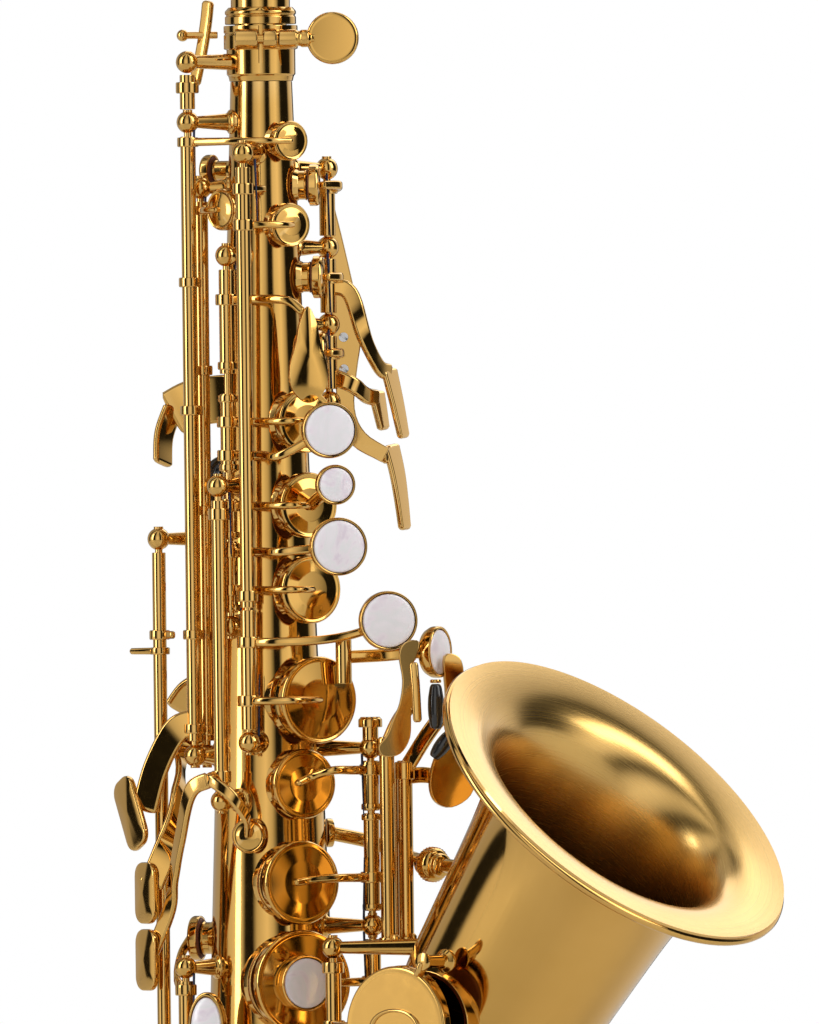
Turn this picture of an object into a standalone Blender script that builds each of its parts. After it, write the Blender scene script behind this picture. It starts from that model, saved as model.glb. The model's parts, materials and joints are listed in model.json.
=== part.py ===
"""Curved soprano saxophone in gold lacquer, as separate soldered keys on a conical body.

Lengths are in millimetres until a finished piece is scaled to metres.
Frame: +Z up towards the neck, +X towards the bell, -Y towards the player's right. The pieces are drawn from
the point on the body tube's axis at its joint with the bow, and settle() then moves the whole instrument so
that the origin is the bottom centre of its box. A place near the body is given by (theta, radius, z): theta
is the angle about the body's axis, 0 at -Y and 90 at +X.
"""

import math

import bmesh
import bpy
from mathutils import Matrix, Vector

METRE = 0.001

# Driving dimensions, mm
BODY_RADIUS = 18.5  # outside, at the bow joint
BODY_TAPER = 0.0335  # radius lost per mm of height
BODY_TOP = 322.0
WALL = 0.8
BELL_X = 59.0  # bell axis to body axis
BOW_RADIUS = BELL_X / 2
BELL_TUBE_RADIUS = 22.0
BELL_STRAIGHT = 45.0
RIM_CENTRE = Vector((109.0, 0.0, 142.0))
RIM_RADIUS = 49.2
RIM_TILT = math.radians(44)
GAP = 0.3
CHIMNEY = 2.6  # height of a tone hole's seat above the tube
CUP_HEIGHT = 3.4
TUBE = 2.0  # outside radius of a hinge tube
BALL = 2.8  # radius of a post's ball

GOLD = ((0.78, 0.52, 0.18), 0.16, 1.0)
PEARL = ((0.86, 0.82, 0.86), 0.2, 0.0)
BLACK = ((0.02, 0.02, 0.022), 0.25, 0.0)
CORK = ((0.62, 0.42, 0.24), 0.8, 0.0)
CANE = ((0.8, 0.66, 0.38), 0.6, 0.0)
FINISHES = {"gold": GOLD, "pearl": PEARL, "black": BLACK, "cork": CORK, "cane": CANE}


def body_radius(z):
    return BODY_RADIUS - BODY_TAPER * z


def around(theta, radius, z):
    """A point at an angle about the body's axis."""
    turn = math.radians(theta)
    return Vector((radius * math.sin(turn), -radius * math.cos(turn), z))


def facing(theta):
    turn = math.radians(theta)
    return Vector((math.sin(turn), -math.cos(turn), 0.0))


def frame_at(origin, normal, up=Vector((0, 0, 1))):
    """A matrix whose Z axis is the normal and whose Y axis leans towards up."""
    z_axis = normal.normalized()
    x_axis = up.cross(z_axis).normalized()
    y_axis = z_axis.cross(x_axis)
    return Matrix.Translation(origin) @ Matrix((x_axis, y_axis, z_axis)).transposed().to_4x4()


# ---------------------------------------------------------------- shapes


def shape_of_rings(rings, loop=False):
    """A closed surface through rings of points; a one-point ring is a pole, and loop joins last to first."""
    bm = bmesh.new()
    made = [[bm.verts.new(point) for point in ring] for ring in rings]
    pairs = list(zip(made, made[1:]))
    if loop:
        pairs.append((made[-1], made[0]))
    for one, two in pairs:
        count = max(len(one), len(two))
        for i in range(count):
            j = (i + 1) % count
            corners = [one[i % len(one)], one[j % len(one)], two[j % len(two)], two[i % len(two)]]
            bm.faces.new(list(dict.fromkeys(corners)))
    if not loop:
        for ring in (made[0], made[-1]):
            if len(ring) > 2:
                bm.faces.new(ring)
    bmesh.ops.recalc_face_normals(bm, faces=bm.faces)
    return bm


def turned(profile, place, segments, loop=False):
    """Revolves (radius, height) points about the Z axis of place."""
    rings = []
    for radius, height in profile:
        if radius == 0:
            rings.append([place @ Vector((0, 0, height))])
            continue
        ring = []
        for i in range(segments):
            turn = math.tau * i / segments
            ring.append(place @ Vector((radius * math.cos(turn), radius * math.sin(turn), height)))
        rings.append(ring)
    return shape_of_rings(rings, loop)


def rod(start, end, radius, segments=8, end_radius=None):
    upright = abs((end - start).normalized().z) > 0.9
    place = frame_at(start, end - start, Vector((0.31, 0.95, 0.12)) if upright else Vector((0, 0, 1)))
    length = (end - start).length
    tip = radius if end_radius is None else end_radius
    return turned([(0, 0), (radius, 0), (tip, length), (0, length)], place, segments)


def ball(centre, radius, segments=8, rings=5):
    profile = []
    for i in range(rings + 1):
        turn = math.pi * i / rings
        profile.append((0 if i in (0, rings) else radius * math.sin(turn), -radius * math.cos(turn)))
    return turned(profile, Matrix.Translation(centre), segments)


def swept(points, section, side=Vector((0, 0, 1))):
    """Sweeps a section of (across, along side) points through a path, keeping one edge parallel to side."""
    rings = []
    for i, point in enumerate(points):
        before = points[max(i - 1, 0)]
        after = points[min(i + 1, len(points) - 1)]
        tangent = (after - before).normalized()
        across = tangent.cross(side).normalized()
        along = across.cross(tangent).normalized()
        rings.append([point + across * a + along * b for a, b in section])
    return shape_of_rings(rings)


def strap(points, width, thickness, side=Vector((0, 0, 1))):
    half, thin = width / 2, thickness / 2
    return swept(points, [(-thin, -half), (thin, -half), (thin, half), (-thin, half)], side)


ARM_STEPS = 1


def smooth_path(points, steps=ARM_STEPS):
    """A Catmull-Rom curve through the points."""
    ends = [2 * points[0] - points[1]] + list(points) + [2 * points[-1] - points[-2]]
    path = []
    for i in range(1, len(ends) - 2):
        p0, p1, p2, p3 = ends[i - 1 : i + 3]
        for step in range(steps):
            t = step / steps
            path.append(
                0.5 * (2 * p1 + (p2 - p0) * t + (2 * p0 - 5 * p1 + 4 * p2 - p3) * t**2
                       + (3 * p1 - p0 - 3 * p2 + p3) * t**3)
            )
    path.append(points[-1])
    return path


def arc_path(places, steps=ARM_STEPS):
    """A smooth path through (theta, radius, z) places."""
    return smooth_path([around(*place) for place in places], steps)


def plate(place, width, height, thickness, corner=0.3, steps=3):
    """A plate with rounded corners; place's Z axis is its outward face, corner a share of its half width."""
    cut = corner * width
    outline = []
    for quarter, (sx, sy) in enumerate(((1, 1), (-1, 1), (-1, -1), (1, -1))):
        centre = Vector((sx * (width / 2 - cut), sy * (height / 2 - cut), 0))
        for step in range(steps + 1):
            turn = math.pi / 2 * (quarter + step / steps)
            outline.append(centre + Vector((math.cos(turn), math.sin(turn), 0)) * cut)
    rings = [[place @ (point + Vector((0, 0, h))) for point in outline] for h in (0, thickness)]
    return shape_of_rings(rings)


# ---------------------------------------------------------------- finished pieces


def helper_object(bm, collection):
    mesh = bpy.data.meshes.new("helper")
    bm.to_mesh(mesh)
    bm.free()
    helper = bpy.data.objects.new("helper", mesh)
    helper.hide_render = True
    helper.display_type = "WIRE"
    collection.objects.link(helper)
    return helper


def group_of(shapes):
    collection = bpy.data.collections.new("helpers")
    bpy.context.scene.collection.children.link(collection)
    for bm in shapes:
        helper_object(bm, collection)
    return collection


def drop_group(collection):
    for helper in list(collection.objects):
        bpy.data.objects.remove(helper)
    bpy.data.collections.remove(collection)


def finish_material(finish):
    name = "lacquer_" + finish if "gold" in finish else finish
    material = bpy.data.materials.get(name)
    if material:
        return material
    colour, roughness, metallic = FINISHES[finish]
    material = bpy.data.materials.new(name)
    material.use_nodes = True
    shader = material.node_tree.nodes["Principled BSDF"]
    shader.inputs["Base Color"].default_value = (*colour, 1)
    shader.inputs["Roughness"].default_value = roughness
    shader.inputs["Metallic"].default_value = metallic
    return material


def piece(name, shapes, finish="gold", cutters=(), parent=None):
    """Joins the shapes, cuts the cutters out, and makes the result one named object in metres."""
    base_group = group_of(shapes[:1])
    base = base_group.objects[0]
    groups = [base_group]
    for operation, parts in (("UNION", shapes[1:]), ("DIFFERENCE", cutters)):
        if not parts:
            continue
        group = group_of(parts)
        groups.append(group)
        join = base.modifiers.new(operation, "BOOLEAN")
        join.operation = operation
        join.operand_type = "COLLECTION"
        join.collection = group
        join.solver = "EXACT"
    graph = bpy.context.evaluated_depsgraph_get()
    mesh = bpy.data.meshes.new_from_object(base.evaluated_get(graph))
    for group in groups:
        drop_group(group)
    mesh.name = name
    made = bpy.data.objects.new(name, mesh)
    bpy.context.scene.collection.objects.link(made)
    place = Matrix.Scale(METRE, 4)
    if parent:
        made.parent = parent
        place = TURNED_TO_REST[parent.name] @ place
        place = Matrix.Translation(parent.location).inverted() @ place
    mesh.transform(place)
    mesh.materials.clear()
    mesh.materials.append(finish_material(finish))
    mesh.shade_smooth()
    mesh.set_sharp_from_angle(angle=math.radians(35))
    return made


TURNED_TO_REST = {}


def hinge(name, point, open_by=0.0, axis=Vector((0, 0, 1))):
    """The empty on a moving piece's axis. Pieces are drawn shut, and open_by degrees turns them to rest."""
    empty = bpy.data.objects.new("hinge_" + name, None)
    bpy.context.scene.collection.objects.link(empty)
    empty.location = point * METRE
    turn = Matrix.Rotation(math.radians(open_by), 4, axis)
    there = Matrix.Translation(empty.location)
    TURNED_TO_REST[empty.name] = there @ turn @ there.inverted()
    return empty


def clear_scene():
    for old in list(bpy.data.objects):
        bpy.data.objects.remove(old)


# ---------------------------------------------------------------- hinge lines, as (theta, radius)

LINE_LEFT_STACK = (4, 16.3)
LINE_G = (25, 21)
LINE_E = (-33, 19.5)
LINE_SIDE_C = (-50, 15.5)
LINE_SIDE_B_FLAT = (5.5, 22)
LINE_F_SHARP = (-52, 27)
LINE_RIGHT_STACK = (103, 28)
LINE_PALM = (157, 18.4)
LINE_OCTAVE = (-125, 15)
LINE_TRILL = (-25, 24)
LINE_E_FLAT = (-42, 26)
LINE_LOW_C = (-24, 25.5)
LEVER_C_SHARP = (99, 33.6)
LEVER_B = (109, 35.8)
LEVER_B_FLAT = (119, 31.8)
BELL_LINE = Vector((34.5, -19.0, 0.0))

# Tone holes on the body: (theta, z, cup radius, height of the seat above the tube)
HOLES = {
    "high_e": (71, 307, 5.0, 2.6),
    "palm_f": (124, 296, 5.2, 2.6),
    "high_f_sharp": (68, 286, 5.5, 2.6),
    "palm_e_flat": (122, 273, 5.3, 2.6),
    "side_c": (-10, 290, 5.2, 2.6),
    "palm_d": (122, 254, 5.5, 2.6),
    "b": (79, 237, 8.0, 2.6),
    "bis": (79, 216, 8.25, 2.6),
    "a": (79, 195, 8.6, 2.6),
    "g": (79, 167.4, 10.9, 2.6),
    "g_sharp": (66, 146.5, 8.75, 2.6),
    "side_b_flat": (22, 133.8, 4.4, 2.6),
    "f_sharp": (58, 122, 10.5, 2.6),
    "f": (57, 97, 13.2, 2.6),
    "trill": (-68, 108, 5.6, 2.6),
    "e": (57, 68, 13.2, 2.6),
    "d": (57, 38, 13.4, 2.6),
    "e_flat": (-82, 24, 11.0, 2.6),
    "body_octave": (-78, 300, 4.0, 4.4),
}


def seat_radius(hole):
    theta, z, cup, height = HOLES[hole]
    return body_radius(z) + height


def cup_at(point, normal, radius, height=CUP_HEIGHT, segments=14):
    """A key cup with a flat pad side at the point and a slightly raised crown."""
    profile = [
        (0, GAP), (radius, GAP), (radius, height * 0.62), (radius - 0.9, height * 0.93), (0, height),
    ]
    return turned(profile, frame_at(point, normal), segments)


def cup_over(hole, segments=14):
    theta, z, cup, height = HOLES[hole]
    return cup_at(around(theta, seat_radius(hole), z), facing(theta), cup, segments=segments)


def crown_of(hole, lift=0.3):
    """The place on top of a shut cup, where its arm ends."""
    theta, z, cup, height = HOLES[hole]
    return (theta, seat_radius(hole) + CUP_HEIGHT + lift, z)


def hinge_tube(line, low, high, radius=TUBE, segments=7):
    theta, distance = line
    return rod(around(theta, distance, low), around(theta, distance, high), radius, segments)


def collar(line, z, radius=2.9, height=2.6):
    theta, distance = line
    return rod(around(theta, distance, z - height / 2), around(theta, distance, z + height / 2), radius, 6)


def arm(places, width=2.2, thickness=1.5, steps=ARM_STEPS):
    return strap(arc_path(places, steps), width, thickness)


def arm_to(hole, line, z, *between, width=2.2):
    """An arm from a hinge line over the cup's edge to its crown."""
    return arm([(line[0], line[1], z), *between, crown_of(hole)], width)


# ---------------------------------------------------------------- body, bow, bell


def post(theta, distance, z, foot_theta=None, radius=BALL):
    """A ball post: a ball on a tapering stem that is soldered to the body."""
    foot = theta if foot_theta is None else foot_theta
    top = around(theta, distance, z)
    root = around(foot, body_radius(z) - 0.5, z)
    return [ball(top, radius, 7, 4), rod(root, top, 2.1, 5, 1.4)]


def body_tube():
    low, high = GAP, BODY_TOP
    outer = rod(around(0, 0, low), around(0, 0, high), body_radius(low), 26, body_radius(high))
    inner = rod(around(0, 0, low - 1), around(0, 0, high + 1), body_radius(low) - WALL, 26,
                body_radius(high) - WALL)
    shapes, cutters = [outer], [inner]
    for theta, z, cup, height in HOLES.values():
        wide = cup - 1.6
        reach = body_radius(z)
        depth = math.sqrt(max(reach**2 - wide**2, 0)) - 1.5
        direction = facing(theta)
        root = direction * depth + Vector((0, 0, z))
        lip = direction * (reach + height) + Vector((0, 0, z))
        shapes.append(rod(root, lip, wide, 12))
        cutters.append(rod(direction * 0.5 * reach + Vector((0, 0, z)), lip + direction * 2, wide - 0.9,
                           12))
    posts = [
        (LINE_E, 312), (LINE_E, 153.8), (LINE_SIDE_C, 295.6), (LINE_SIDE_C, 153.8),
        (LINE_G, 304), (LINE_G, 157), (LINE_LEFT_STACK, 278.5), (LINE_LEFT_STACK, 186),
        (LINE_SIDE_B_FLAT, 221), (LINE_SIDE_B_FLAT, 142.5),
        (LINE_RIGHT_STACK, 155.3), (LINE_RIGHT_STACK, 111), (LINE_RIGHT_STACK, 21.5),
        (LINE_PALM, 300.2), (LINE_PALM, 280.5), (LINE_PALM, 261.2), (LINE_PALM, 241.8), (LINE_OCTAVE,
                                                                                         309),
                                                                                         (LINE_OCTAVE,
                                                                                          228.5),
        (LINE_TRILL, 101), (LINE_TRILL, 66), (LINE_E_FLAT, 53), (LINE_E_FLAT, 9),
        (LINE_LOW_C, 47), (LINE_LOW_C, 12),
    ]
    for (theta, distance), z in posts:
        shapes += post(theta, distance, z)
    cap = around(*LINE_RIGHT_STACK, 163)
    shapes.append(rod(around(*LINE_RIGHT_STACK, 155.3), cap, TUBE, 10))
    shapes.append(rod(cap - Vector((0, 0, 2.4)), cap, 3.0, 10))
    shapes += post(LINE_F_SHARP[0], LINE_F_SHARP[1], 208, foot_theta=-84)
    shapes += post(LINE_F_SHARP[0], LINE_F_SHARP[1], 61, foot_theta=-60)
    piece("body_tube", shapes, cutters=cutters)


def flare_lean(stations, i):
    """How far the wall leans away from the tube's axis at a station."""
    before, after = stations[max(i - 1, 0)], stations[min(i + 1, len(stations) - 1)]
    return math.atan2(after[2] - before[2], (after[0] - before[0]).length)


def wide_tube(stations, segments, wall, flared=False):
    """A thin-walled tube through stations of (centre, direction, radius), with the bow plane's Y across."""
    rings = []
    count = len(stations)
    across = Vector((0, 1, 0))
    for offset, order in ((0.0, range(count)), (wall, range(count - 1, -1, -1))):
        for i in order:
            centre, direction, radius = stations[i]
            lean = flare_lean(stations, i) if flared else 0.0
            middle = centre + direction * offset * math.sin(lean)
            reach = radius - offset * math.cos(lean)
            other = direction.cross(across).normalized()
            ring = []
            for k in range(segments):
                turn = math.tau * k / segments
                ring.append(middle + other * math.cos(turn) * reach + across * math.sin(turn) * reach)
            rings.append(ring)
    return shape_of_rings(rings, loop=True)


def bow():
    stations = []
    steps = 10
    start, end = math.radians(1.2), math.radians(178.8)
    for i in range(steps + 1):
        turn = start + (end - start) * i / steps
        centre = Vector((BOW_RADIUS - BOW_RADIUS * math.cos(turn), 0, -BOW_RADIUS * math.sin(turn)))
        direction = Vector((math.sin(turn), 0, -math.cos(turn)))
        radius = BODY_RADIUS + (BELL_TUBE_RADIUS - BODY_RADIUS) * i / steps
        stations.append((centre, direction, radius))
    seat = Vector((9.5, -17.0, -19.5))
    chimney = rod(seat, LOW_C_SEAT, 11.6, 18)
    bore = rod(seat + Vector((0, 2, 0)), LOW_C_SEAT + Vector((0, -2, 0)), 10.7, 18)
    piece("bow", [wide_tube(stations, 26, WALL), chimney], cutters=[bore])


LOW_C_SEAT = Vector((9.5, -22.3, -19.5))


def bell_stations():
    """The bell's axis: straight, then an arc towards the rim, with the radius growing to the flare."""
    stations = []
    for z in (GAP, BELL_STRAIGHT):
        stations.append((Vector((BELL_X, 0, z)), Vector((0, 0, 1)), BELL_TUBE_RADIUS + 0.012 * z))
    bend_radius = 89.3
    centre = Vector((BELL_X + bend_radius, 0, BELL_STRAIGHT))
    bend = math.radians(37)
    for i in range(1, 5):
        turn = bend * i / 4
        point = centre + Vector((-math.cos(turn), 0, math.sin(turn))) * bend_radius
        direction = Vector((math.sin(turn), 0, math.cos(turn)))
        stations.append((point, direction, BELL_TUBE_RADIUS + 0.6 + 3.4 * (i / 4) ** 1.3))
    last, heading = stations[-1][0], stations[-1][1]
    rim_heading = Vector((math.sin(RIM_TILT), 0, math.cos(RIM_TILT)))
    throat = stations[-1][2]
    for i in range(1, 8):
        t = 1 - (1 - i / 7) ** 3
        point = last.lerp(RIM_CENTRE, t)
        direction = heading.lerp(rim_heading, t).normalized()
        flare = 0.2 * t + 0.235 * t**6 + 0.285 * t**24 + 0.28 * t**110
        stations.append((point, direction, throat + (RIM_RADIUS - throat) * flare))
    return stations


def bell_radius_at(z):
    """The bell's axis X and outside radius at a height in its lower half."""
    stations = bell_stations()
    for (one, _, r_one), (two, _, r_two) in zip(stations, stations[1:]):
        if one.z <= z <= two.z:
            t = (z - one.z) / (two.z - one.z)
            return one.x + (two.x - one.x) * t, r_one + (r_two - r_one) * t
    return BELL_X, BELL_TUBE_RADIUS


BELL_HOLES = {"low_c_sharp": (18.5, 11.2), "low_b": (47.0, 14.6), "low_b_flat": (86.5, 15.5)}


def bell_seat(hole):
    z, cup = BELL_HOLES[hole]
    x, radius = bell_radius_at(z)
    return Vector((x, -radius - CHIMNEY, z))


def bell_post(z):
    foot_z = max(z, 4.0)
    x, radius = bell_radius_at(foot_z)
    top = BELL_LINE + Vector((0, 0, z))
    axis = Vector((x, 0, foot_z))
    root = axis + (top - axis).normalized() * (radius - 0.4)
    return [ball(top, BALL, 7, 4), rod(root, top, 2.2, 5, 1.5)]


def bell():
    shapes = [wide_tube(bell_stations(), 30, WALL, flared=True)]
    cutters = []
    rim_heading = Vector((math.sin(RIM_TILT), 0, math.cos(RIM_TILT)))
    lip = []
    for i in range(6):
        turn = math.tau * i / 6
        lip.append((RIM_RADIUS - 0.3 + 1.2 * math.cos(turn), 1.2 * math.sin(turn) - 0.7))
    shapes.append(turned(lip, frame_at(RIM_CENTRE, rim_heading, Vector((0, 1, 0))), 30, loop=True))
    for hole, (z, cup) in BELL_HOLES.items():
        seat = bell_seat(hole)
        x, radius = bell_radius_at(z)
        wide = cup - 1.6
        depth = math.sqrt(radius**2 - wide**2) - 1.6
        shapes.append(rod(Vector((x, -depth, z)), seat, wide, 14))
        cutters.append(rod(Vector((x, -radius / 2, z)), seat + Vector((0, -2, 0)), wide - 0.9, 14))
    for z in (6.2, 30.6, 64.5, 106.0):
        shapes += bell_post(z)
    piece("bell", shapes, cutters=cutters)


def rings():
    for name, x, radius in (("body_ring", 0.0, BODY_RADIUS), ("bell_ring", BELL_X, BELL_TUBE_RADIUS)):
        inner, outer = radius + 0.55, radius + 1.5
        profile = [(inner, -1.6), (outer, -1.6), (outer + 0.5, -0.8), (outer + 0.5, 2.4), (outer, 3.2),
                   (inner, 3.2)]
        piece(name, [turned(profile, Matrix.Translation((x, 0, 0)), 24, loop=True)])


# ---------------------------------------------------------------- receiver, neck and mouthpiece

RECEIVER_LOW = 322.4
RECEIVER_HIGH = 336.0
CLAMP_Z = 332.5
CLAMP_AXIS_THETA = 38.0
OCTAVE_POST_Z = 327.0
NECK_TURN_RADIUS = 34.0
NECK_TURN = math.radians(76)


def receiver():
    profile = [
        (6.9, RECEIVER_LOW), (8.6, RECEIVER_LOW), (8.6, 329.5), (9.25, 330), (9.25, RECEIVER_HIGH),
        (6.9, RECEIVER_HIGH),
    ]
    shapes = [turned(profile, Matrix.Identity(4), 24, loop=True)]
    out = facing(CLAMP_AXIS_THETA)
    right = facing(CLAMP_AXIS_THETA + 90)
    for side in (-1, 1):
        centre = out * 11.2 + right * 2.4 * side + Vector((0, 0, CLAMP_Z))
        shapes.append(rod(centre - right * 1.7, centre + right * 1.7, 2.6, 10))
        shapes.append(rod(centre - out * 3.2, centre - out * 0.6, 1.3, 8))
    slot_low = out * 5.0 + Vector((0, 0, CLAMP_Z + 2))
    cutters = [strap([slot_low, slot_low + out * 11], 16.0, 1.1)]
    cutters.append(rod(out * 11.2 - right * 8 + Vector((0, 0, CLAMP_Z)),
                       out * 11.2 + right * 8 + Vector((0, 0, CLAMP_Z)), 1.5, 12))
    top = around(*LINE_E, OCTAVE_POST_Z)
    shapes += [ball(top, BALL, 8, 5), rod(around(LINE_E[0], 8.1, OCTAVE_POST_Z), top, 2.1, 8, 1.5)]
    piece("neck_receiver", shapes, cutters=cutters)


def octave_arm():
    """The arm that carries the thumb lever's push up beside the neck's ring, with a pin across it."""
    pivot = hinge("octave_arm", around(*LINE_E, 320))
    rise = smooth_path([around(-33, 19.5, 320.6), around(-62, 20.5, 320.6), around(-84, 19.5, 323)])
    reach = [around(-82, 19.4, 321.4), around(-88, 18.4, 330), around(-90, 17.4, 337),
             around(-90, 16.6, 342.6)]
    middle = around(-89, 17.8, 334)
    right = facing(128)
    shapes = [hinge_tube(LINE_E, 315.2, 323.8, 1.9), collar(LINE_E, 320.6), strap(rise, 2.4, 1.6)]
    shapes += [strap(smooth_path(reach), 1.6, 3.4, facing(0)),
               rod(middle - right * 5.4, middle + right * 3.4, 0.9, 8)]
    shapes.append(ball(middle - right * 5.4, 1.5, 8, 5))
    piece("octave_arm", shapes, parent=pivot)


def receiver_screw():
    out = facing(CLAMP_AXIS_THETA)
    right = facing(CLAMP_AXIS_THETA + 90)
    centre = out * 11.2 + Vector((0, 0, CLAMP_Z))
    pivot = hinge("receiver_screw", centre + right * 6)
    shank = rod(centre - right * 4.5, centre + right * 13.5, 1.1, 10)
    barrel = rod(centre + right * 4.6, centre + right * 12.0, 2.3, 12, 1.8)
    head = frame_at(centre + right * 18.0 - out * 0.9, out)
    wing = turned([(0, 0), (6.4, 0), (6.6, 0.9), (6.4, 1.8), (0, 1.8)], head, 20)
    piece("receiver_screw", [shank, barrel, wing], parent=pivot)


def neck_path(start, steps=6):
    """Centres and directions up the neck: a short rise, then the bend towards the player."""
    stations = [(Vector((0, 0, start)), Vector((0, 0, 1)))]
    low = 343.0
    for i in range(steps + 1):
        turn = NECK_TURN * i / steps
        centre = Vector((-NECK_TURN_RADIUS * (1 - math.cos(turn)), 0,
                         low + NECK_TURN_RADIUS * math.sin(turn)))
        stations.append((centre, Vector((-math.sin(turn), 0, math.cos(turn)))))
    return stations


def neck_end(distance):
    centre, direction = neck_path(324.0)[-1]
    return centre + direction * distance, direction


def neck():
    pivot = hinge("neck", Vector((0, 0, RECEIVER_HIGH)))
    stations = [(centre, direction, 6.5) for centre, direction in neck_path(325.0)]
    count = len(stations) - 1
    tube = []
    for i, (centre, direction, _) in enumerate(stations):
        tube.append((centre, direction, 6.5 if i == 0 else 7.4 - 1.9 * (i - 1) / (count - 1)))
    tube.insert(1, (Vector((0, 0, 336.3)), Vector((0, 0, 1)), 6.5))
    tube.insert(2, (Vector((0, 0, 336.6)), Vector((0, 0, 1)), 7.4))
    point, direction = neck_end(41.0)
    tube.append((point, direction, 4.6))
    shapes = [wide_tube(tube, 18, WALL)]
    collar_profile = [(6.2, 336.35), (8.9, 336.35), (8.9, 339.3), (8.0, 340.2), (6.8, 340.2)]
    shapes.append(turned(collar_profile, Matrix.Identity(4), 20, loop=True))
    for side in (-1, 1):
        shapes += [rod(Vector((3.2, side * 4.9, 352)), Vector((12.3, side * 5.4, 352)), 1.2, 8),
                   ball(Vector((12.3, side * 5.4, 352)), 1.7, 8)]
    centre, direction = neck_path(325.0)[4]
    outward = Vector((direction.z, 0, -direction.x))
    bottom = centre + outward * 5.5
    top = centre + outward * 9.2
    shapes.append(rod(bottom, top, 1.9, 10))
    piece("neck_tube", shapes, parent=pivot)

    cork_low, direction = neck_end(17.0)
    cork_high, _ = neck_end(40.6)
    place = frame_at(cork_low, direction, Vector((0, 1, 0)))
    length = (cork_high - cork_low).length
    piece("neck_cork", [turned([(5.8, 0), (6.6, 0.6), (6.4, length), (5.3, length)], place, 18, loop=True)],
          "cork", parent=pivot)

    down = Vector((-direction.z, 0, direction.x))
    mouthpiece(pivot, direction, down)
    band_place = frame_at(neck_end(26 + 31)[0], direction, Vector((0, 1, 0)))
    band = [(9.45, -7), (10.1, -7), (10.1, 7), (9.45, 7)]
    screws = []
    for offset in (-4, 4):
        start = neck_end(26 + 31 + offset)[0] + down * 11.9
        screws.append(rod(start - Vector((0, 7, 0)), start + Vector((0, 8, 0)), 1.3, 8))
        screws.append(rod(start + Vector((0, 8, 0)), start + Vector((0, 11, 0)), 2.6, 10))
        screws.append(rod(start - down * 0.9 - Vector((0, 4, 0)), start - down * 0.9 + Vector((0, 4, 0)),
                          1.5, 8))
    piece("ligature", [turned(band, band_place, 18, loop=True), *screws], parent=pivot)
    neck_octave_key(outward, top)


MOUTHPIECE_START = 26.0  # along the neck's end line
TABLE = 6.4  # from the mouthpiece's axis down to the flat that the reed lies on
BEAK = 38.0  # along the mouthpiece, where its top begins to slope
TIP = 66.0


def mouthpiece(pivot, direction, down):
    """A bored shank that turns into a beak: flat below for the reed, sloping above to a thin tip."""
    start, _ = neck_end(MOUTHPIECE_START)
    side = Vector((0, 1, 0))
    steps = 20
    turns = [math.tau * i / steps for i in range(steps)]
    profile = [(0, 9.0, False), (1.5, 9.3, False), (27.6, 8.8, False), (28.0, 8.8, True),
               (BEAK, 8.6, True), (52, 8.3, True),
               (TIP, 8.0, True)]
    rings = []
    for distance in (22.0, 0.0):
        rings.append([start + direction * distance + (down * math.cos(t) + side * math.sin(t)) * 7.0 for t in turns])
    for distance, radius, flat in profile:
        slope = radius if distance < BEAK else radius - (distance - BEAK) / (TIP - BEAK) * (radius + 5.4)
        narrow = 1 - max(distance - 44, 0) * 0.012
        ring = []
        for t in turns:
            low = min(radius * math.cos(t), TABLE if flat else radius)
            middle = start + direction * distance + side * radius * math.sin(t) * narrow
            ring.append(middle + down * max(low, -slope))
        rings.append(ring)
    piece("mouthpiece", [shape_of_rings(rings)], "black", parent=pivot)

    rings = []
    flat = TABLE + 0.35
    for distance, thick in ((28.6, 1.0), (44.0, 1.0), (56.0, 0.45), (65.4, 0.12)):
        centre = start + direction * distance
        ring = [centre + down * flat - side * 5.1, centre + down * flat + side * 5.1]
        for across in (5.1, 3.0, 0.0, -3.0, -5.1):
            back = math.sqrt(9.15**2 - across**2) - flat
            ring.append(centre + down * (flat + back * thick) + side * across)
        rings.append(ring)
    piece("reed", [shape_of_rings(rings)], "cane", parent=pivot)


def neck_octave_key(outward, pip_top):
    pivot = hinge("neck_octave_key", Vector((12.3, 0, 352)))
    axle = rod(Vector((12.3, -3.3, 352)), Vector((12.3, 3.3, 352)), 1.6, 10)
    ring_profile = [(10.6, -1), (12.6, -1), (12.6, 1), (10.6, 1)]
    ring = turned(ring_profile, Matrix.Translation((0, 0, 345.2)), 24, loop=True)
    drop = strap(smooth_path([Vector((12.3, 0, 352)), Vector((13.0, 0, 348.5)),
                              Vector((11.8, 0, 345.2))]), 3.0, 1.5,
                 Vector((0, 1, 0)))
    over = pip_top + outward * (GAP + 2.4)
    lever = strap(smooth_path([Vector((12.3, 0, 352)), Vector((12.6, 0, 357.5)),
                               over + Vector((4.6, 0, -3.0)), over]),
                  3.0, 1.4, Vector((0, 1, 0)))
    cup = cup_at(pip_top, outward, 3.6, 2.6, 14)
    piece("neck_octave_key", [axle, ring, drop, lever, cup], parent=pivot)


# ---------------------------------------------------------------- small fixed parts


def strap_ring():
    place = frame_at(around(-100, body_radius(196) + 0.35, 196), facing(-100))
    base = plate(place, 5, 14, 1.4, corner=0.3)
    centre = around(-100, body_radius(196) + 6.6, 196)
    loop_place = frame_at(centre, Vector((0, 0, 1)), Vector((0, 1, 0.01)))
    profile = []
    for i in range(6):
        turn = math.tau * i / 6
        profile.append((5.0 + 1.1 * math.cos(turn), 1.1 * math.sin(turn)))
    piece("strap_ring", [base, turned(profile, loop_place, 14, loop=True)])


def thumb_hook():
    place = frame_at(around(-100, body_radius(171) + 0.35, 171), facing(-100))
    base = plate(place, 8, 20, 1.4, corner=0.3)
    path = arc_path([(-100, 14.4, 174), (-98, 19, 174), (-93, 25, 171), (-88, 29, 165)])
    piece("thumb_hook", [base, strap(path, 9, 1.8, facing(-10))])


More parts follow.
